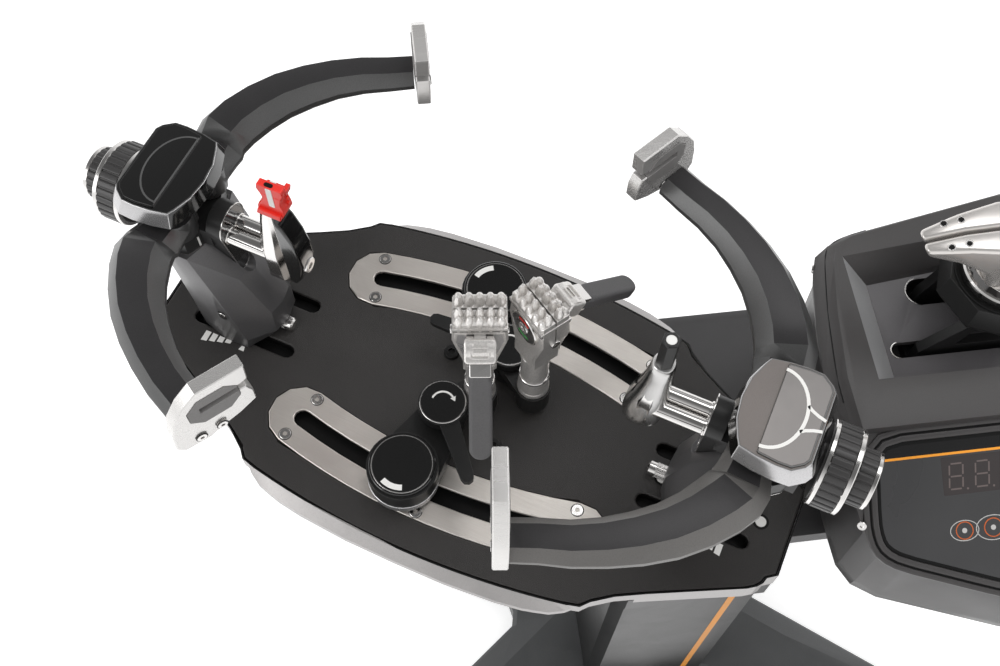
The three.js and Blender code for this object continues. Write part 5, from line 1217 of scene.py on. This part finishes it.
# Gripper: bright notched ring, the dark line round its housing, holes, and the recess and pin in the beak
paint(dressed["gripper_housing"], finishes["support_chrome"], machine_place, lambda middle,
      _: middle.z > 124.6)
head_x = 388
ring_place = machine_place @ Matrix.Translation((head_x, 0, 0))
settle(turned_ring("grip_ring", 28, 33, 126, 133, 64, 1.2), "grip_ring", "carriage", "clamp_black",
       finishes["support_chrome"],
       place=ring_place)
notches = [ring_place @ Matrix.Rotation(math.radians(angle), 4, "Z") @ Matrix.Translation((33.1, 0, 129.5))
           @ Matrix.Rotation(math.radians(90), 4, "Y") for angle in range(0, 360, 24)]
repeated(plate("grip_notch", rounded_box(-2, 2, -1.4, 1.4, 1.2), -0.4, 0.15), "grip_notch", notches,
         "carriage", "clamp_black",
         slot_shade)
settle(turned_ring("housing_line", 33, 36.5, 123.6, 125.4, 64, 0.5), "housing_line", "carriage",
       "clamp_black", slot_shade,
       place=ring_place)
for name, side in (("front", -1), ("rear", 1)):
    body = f"jaw_{name}"
    jaw = dressed[f"gripper_jaw_{name}"]
    for number, x in enumerate((322, 334)):
        spot = on_surface(jaw, machine_place, (x, 9.5 * side, 190))
        settle(turned_ring("beak_hole_rim", 1.9, 2.7, -0.3, 0.35, 24, 0.15), f"beak_hole_rim_{name}_{number}",
               body,
               "support_chrome", bright_ring, place=spot)
        settle(turned_disc("beak_hole", 2, -0.3, 0.15, 24, 0.1), f"beak_hole_{name}_{number}", body,
               "support_chrome",
               slot_shade, place=spot)
    paint(jaw, beak_satin, machine_place, lambda *_: True)
    spot = on_surface(jaw, machine_place, (410, 12 * side, 190))
    settle(plate("jaw_recess", rounded_box(-12, 12, -6.5, 6.5, 2), -0.5, 0.3, 0.2), f"jaw_recess_{name}",
           body,
           "support_chrome", slot_shade, place=spot)
    settle(turned_disc("jaw_pin", 3.2, 0, 4, 28, 0.6), f"jaw_pin_{name}", body, "support_chrome", bright_ring,
           place=spot)

# Column's orange stripe
settle(plate("column_stripe", [(276.5, -816), (284.5, -816), (284.5, -419), (276.5, -419)], 71.9, 72.25),
       "column_stripe", "stand",
       "column_grey", orange_line, place=machine_place @ facing_front)

# Studio, light and camera
def make_floor():
    only()
    bpy.ops.mesh.primitive_plane_add(size=12, location=(0, 0, -0.0005))
    floor = bpy.context.active_object
    floor.name = "studio_floor"
    material = bpy.data.materials.new("Studio floor")
    material.use_nodes = True
    tree = material.node_tree
    shader = tree.nodes["Principled BSDF"]
    shader.inputs["Base Color"].default_value = (0.86, 0.86, 0.86, 1)
    shader.inputs["Roughness"].default_value = 0.9
    shader.inputs["Specular IOR Level"].default_value = 0.0
    shader.inputs["Emission Color"].default_value = (1, 1, 1, 1)
    path = add_node(tree, "ShaderNodeLightPath")
    seen = math_node(tree, "ADD", path.outputs["Is Camera Ray"], path.outputs["Is Glossy Ray"], True)
    seen = math_node(tree, "ADD", seen, path.outputs["Is Transmission Ray"], True)
    tree.links.new(math_node(tree, "MULTIPLY", seen, 0.55), shader.inputs["Emission Strength"])
    floor.data.materials.append(material)


def make_world():
    """White all round for the camera, darker overhead for reflections, as under a lit studio's open roof."""
    world = bpy.data.worlds.new("Studio")
    bpy.context.scene.world = world
    world.use_nodes = True
    tree = world.node_tree
    background = tree.nodes["Background"]
    path = add_node(tree, "ShaderNodeLightPath")
    direction = add_node(tree, "ShaderNodeTexCoord").outputs["Generated"]
    height = add_node(tree, "ShaderNodeSeparateXYZ", {0: direction}).outputs["Z"]
    mirrored = remap(tree, height, 0.3, 0.82, 1.05, 0.16)
    strength = add_node(tree, "ShaderNodeMix", {0: path.outputs["Is Glossy Ray"], 2: 0.62, 3: mirrored},
                        data_type="FLOAT")
    seen = math_node(tree, "ADD", path.outputs["Is Camera Ray"], path.outputs["Is Transmission Ray"], True)
    strength = add_node(tree, "ShaderNodeMix", {0: seen, 2: strength.outputs[0], 3: 1.0}, data_type="FLOAT")
    background.inputs["Color"].default_value = (1, 1, 1, 1)
    tree.links.new(strength.outputs[0], background.inputs["Strength"])


def add_softbox(name, location, target, size, power, mirrored=True):
    only()
    bpy.ops.object.light_add(type="AREA", location=location)
    lamp = bpy.context.active_object
    lamp.name = name
    lamp.data.shape = "RECTANGLE"
    lamp.data.size, lamp.data.size_y = size
    lamp.data.energy = power
    lamp.visible_glossy = mirrored
    lamp.rotation_euler = (Vector(target) - Vector(location)).to_track_quat("-Z", "Y").to_euler()


# Camera of the photograph, in millimetres about the turntable's axis at the deck's top
camera_spot = Vector((-39.11, -387.07, 861.22))
camera_forward = Vector((0.07042898, 0.45654101, -0.8869104))
camera_right = Vector((0.9923738, -0.12223753, 0.01588146))
focal_pixels = 1190.87
photo_width = 1000


def make_camera():
    forward = camera_forward.normalized()
    right = (camera_right - forward * camera_right.dot(forward)).normalized()
    up = right.cross(forward)
    turn = Matrix((right, up, -forward)).transposed().to_4x4()
    data = bpy.data.cameras.new("Photo camera")
    data.sensor_fit = "HORIZONTAL"
    data.sensor_width = 36
    data.lens = focal_pixels / photo_width * data.sensor_width
    camera = bpy.data.objects.new("Photo camera", data)
    bpy.context.scene.collection.objects.link(camera)
    camera.matrix_world = Matrix.Translation(machine_place @ camera_spot) @ turn
    bpy.context.scene.camera = camera


make_floor()
make_world()
add_softbox("Right overhead softbox", (0.95, 0.5, 3.2), (0.95, 0.5, 0.9), (1.6, 1.0), 13)
add_softbox("Overhead fill", (-0.4, -0.5, 3.1), (0, 0, 0.9), (2.4, 2.0), 22, mirrored=False)
add_softbox("Left softbox", (-2.6, -0.8, 2.0), (0, 0, 0.9), (1.6, 1.6), 17)
make_camera()
bpy.context.scene.view_settings.view_transform = "Standard"
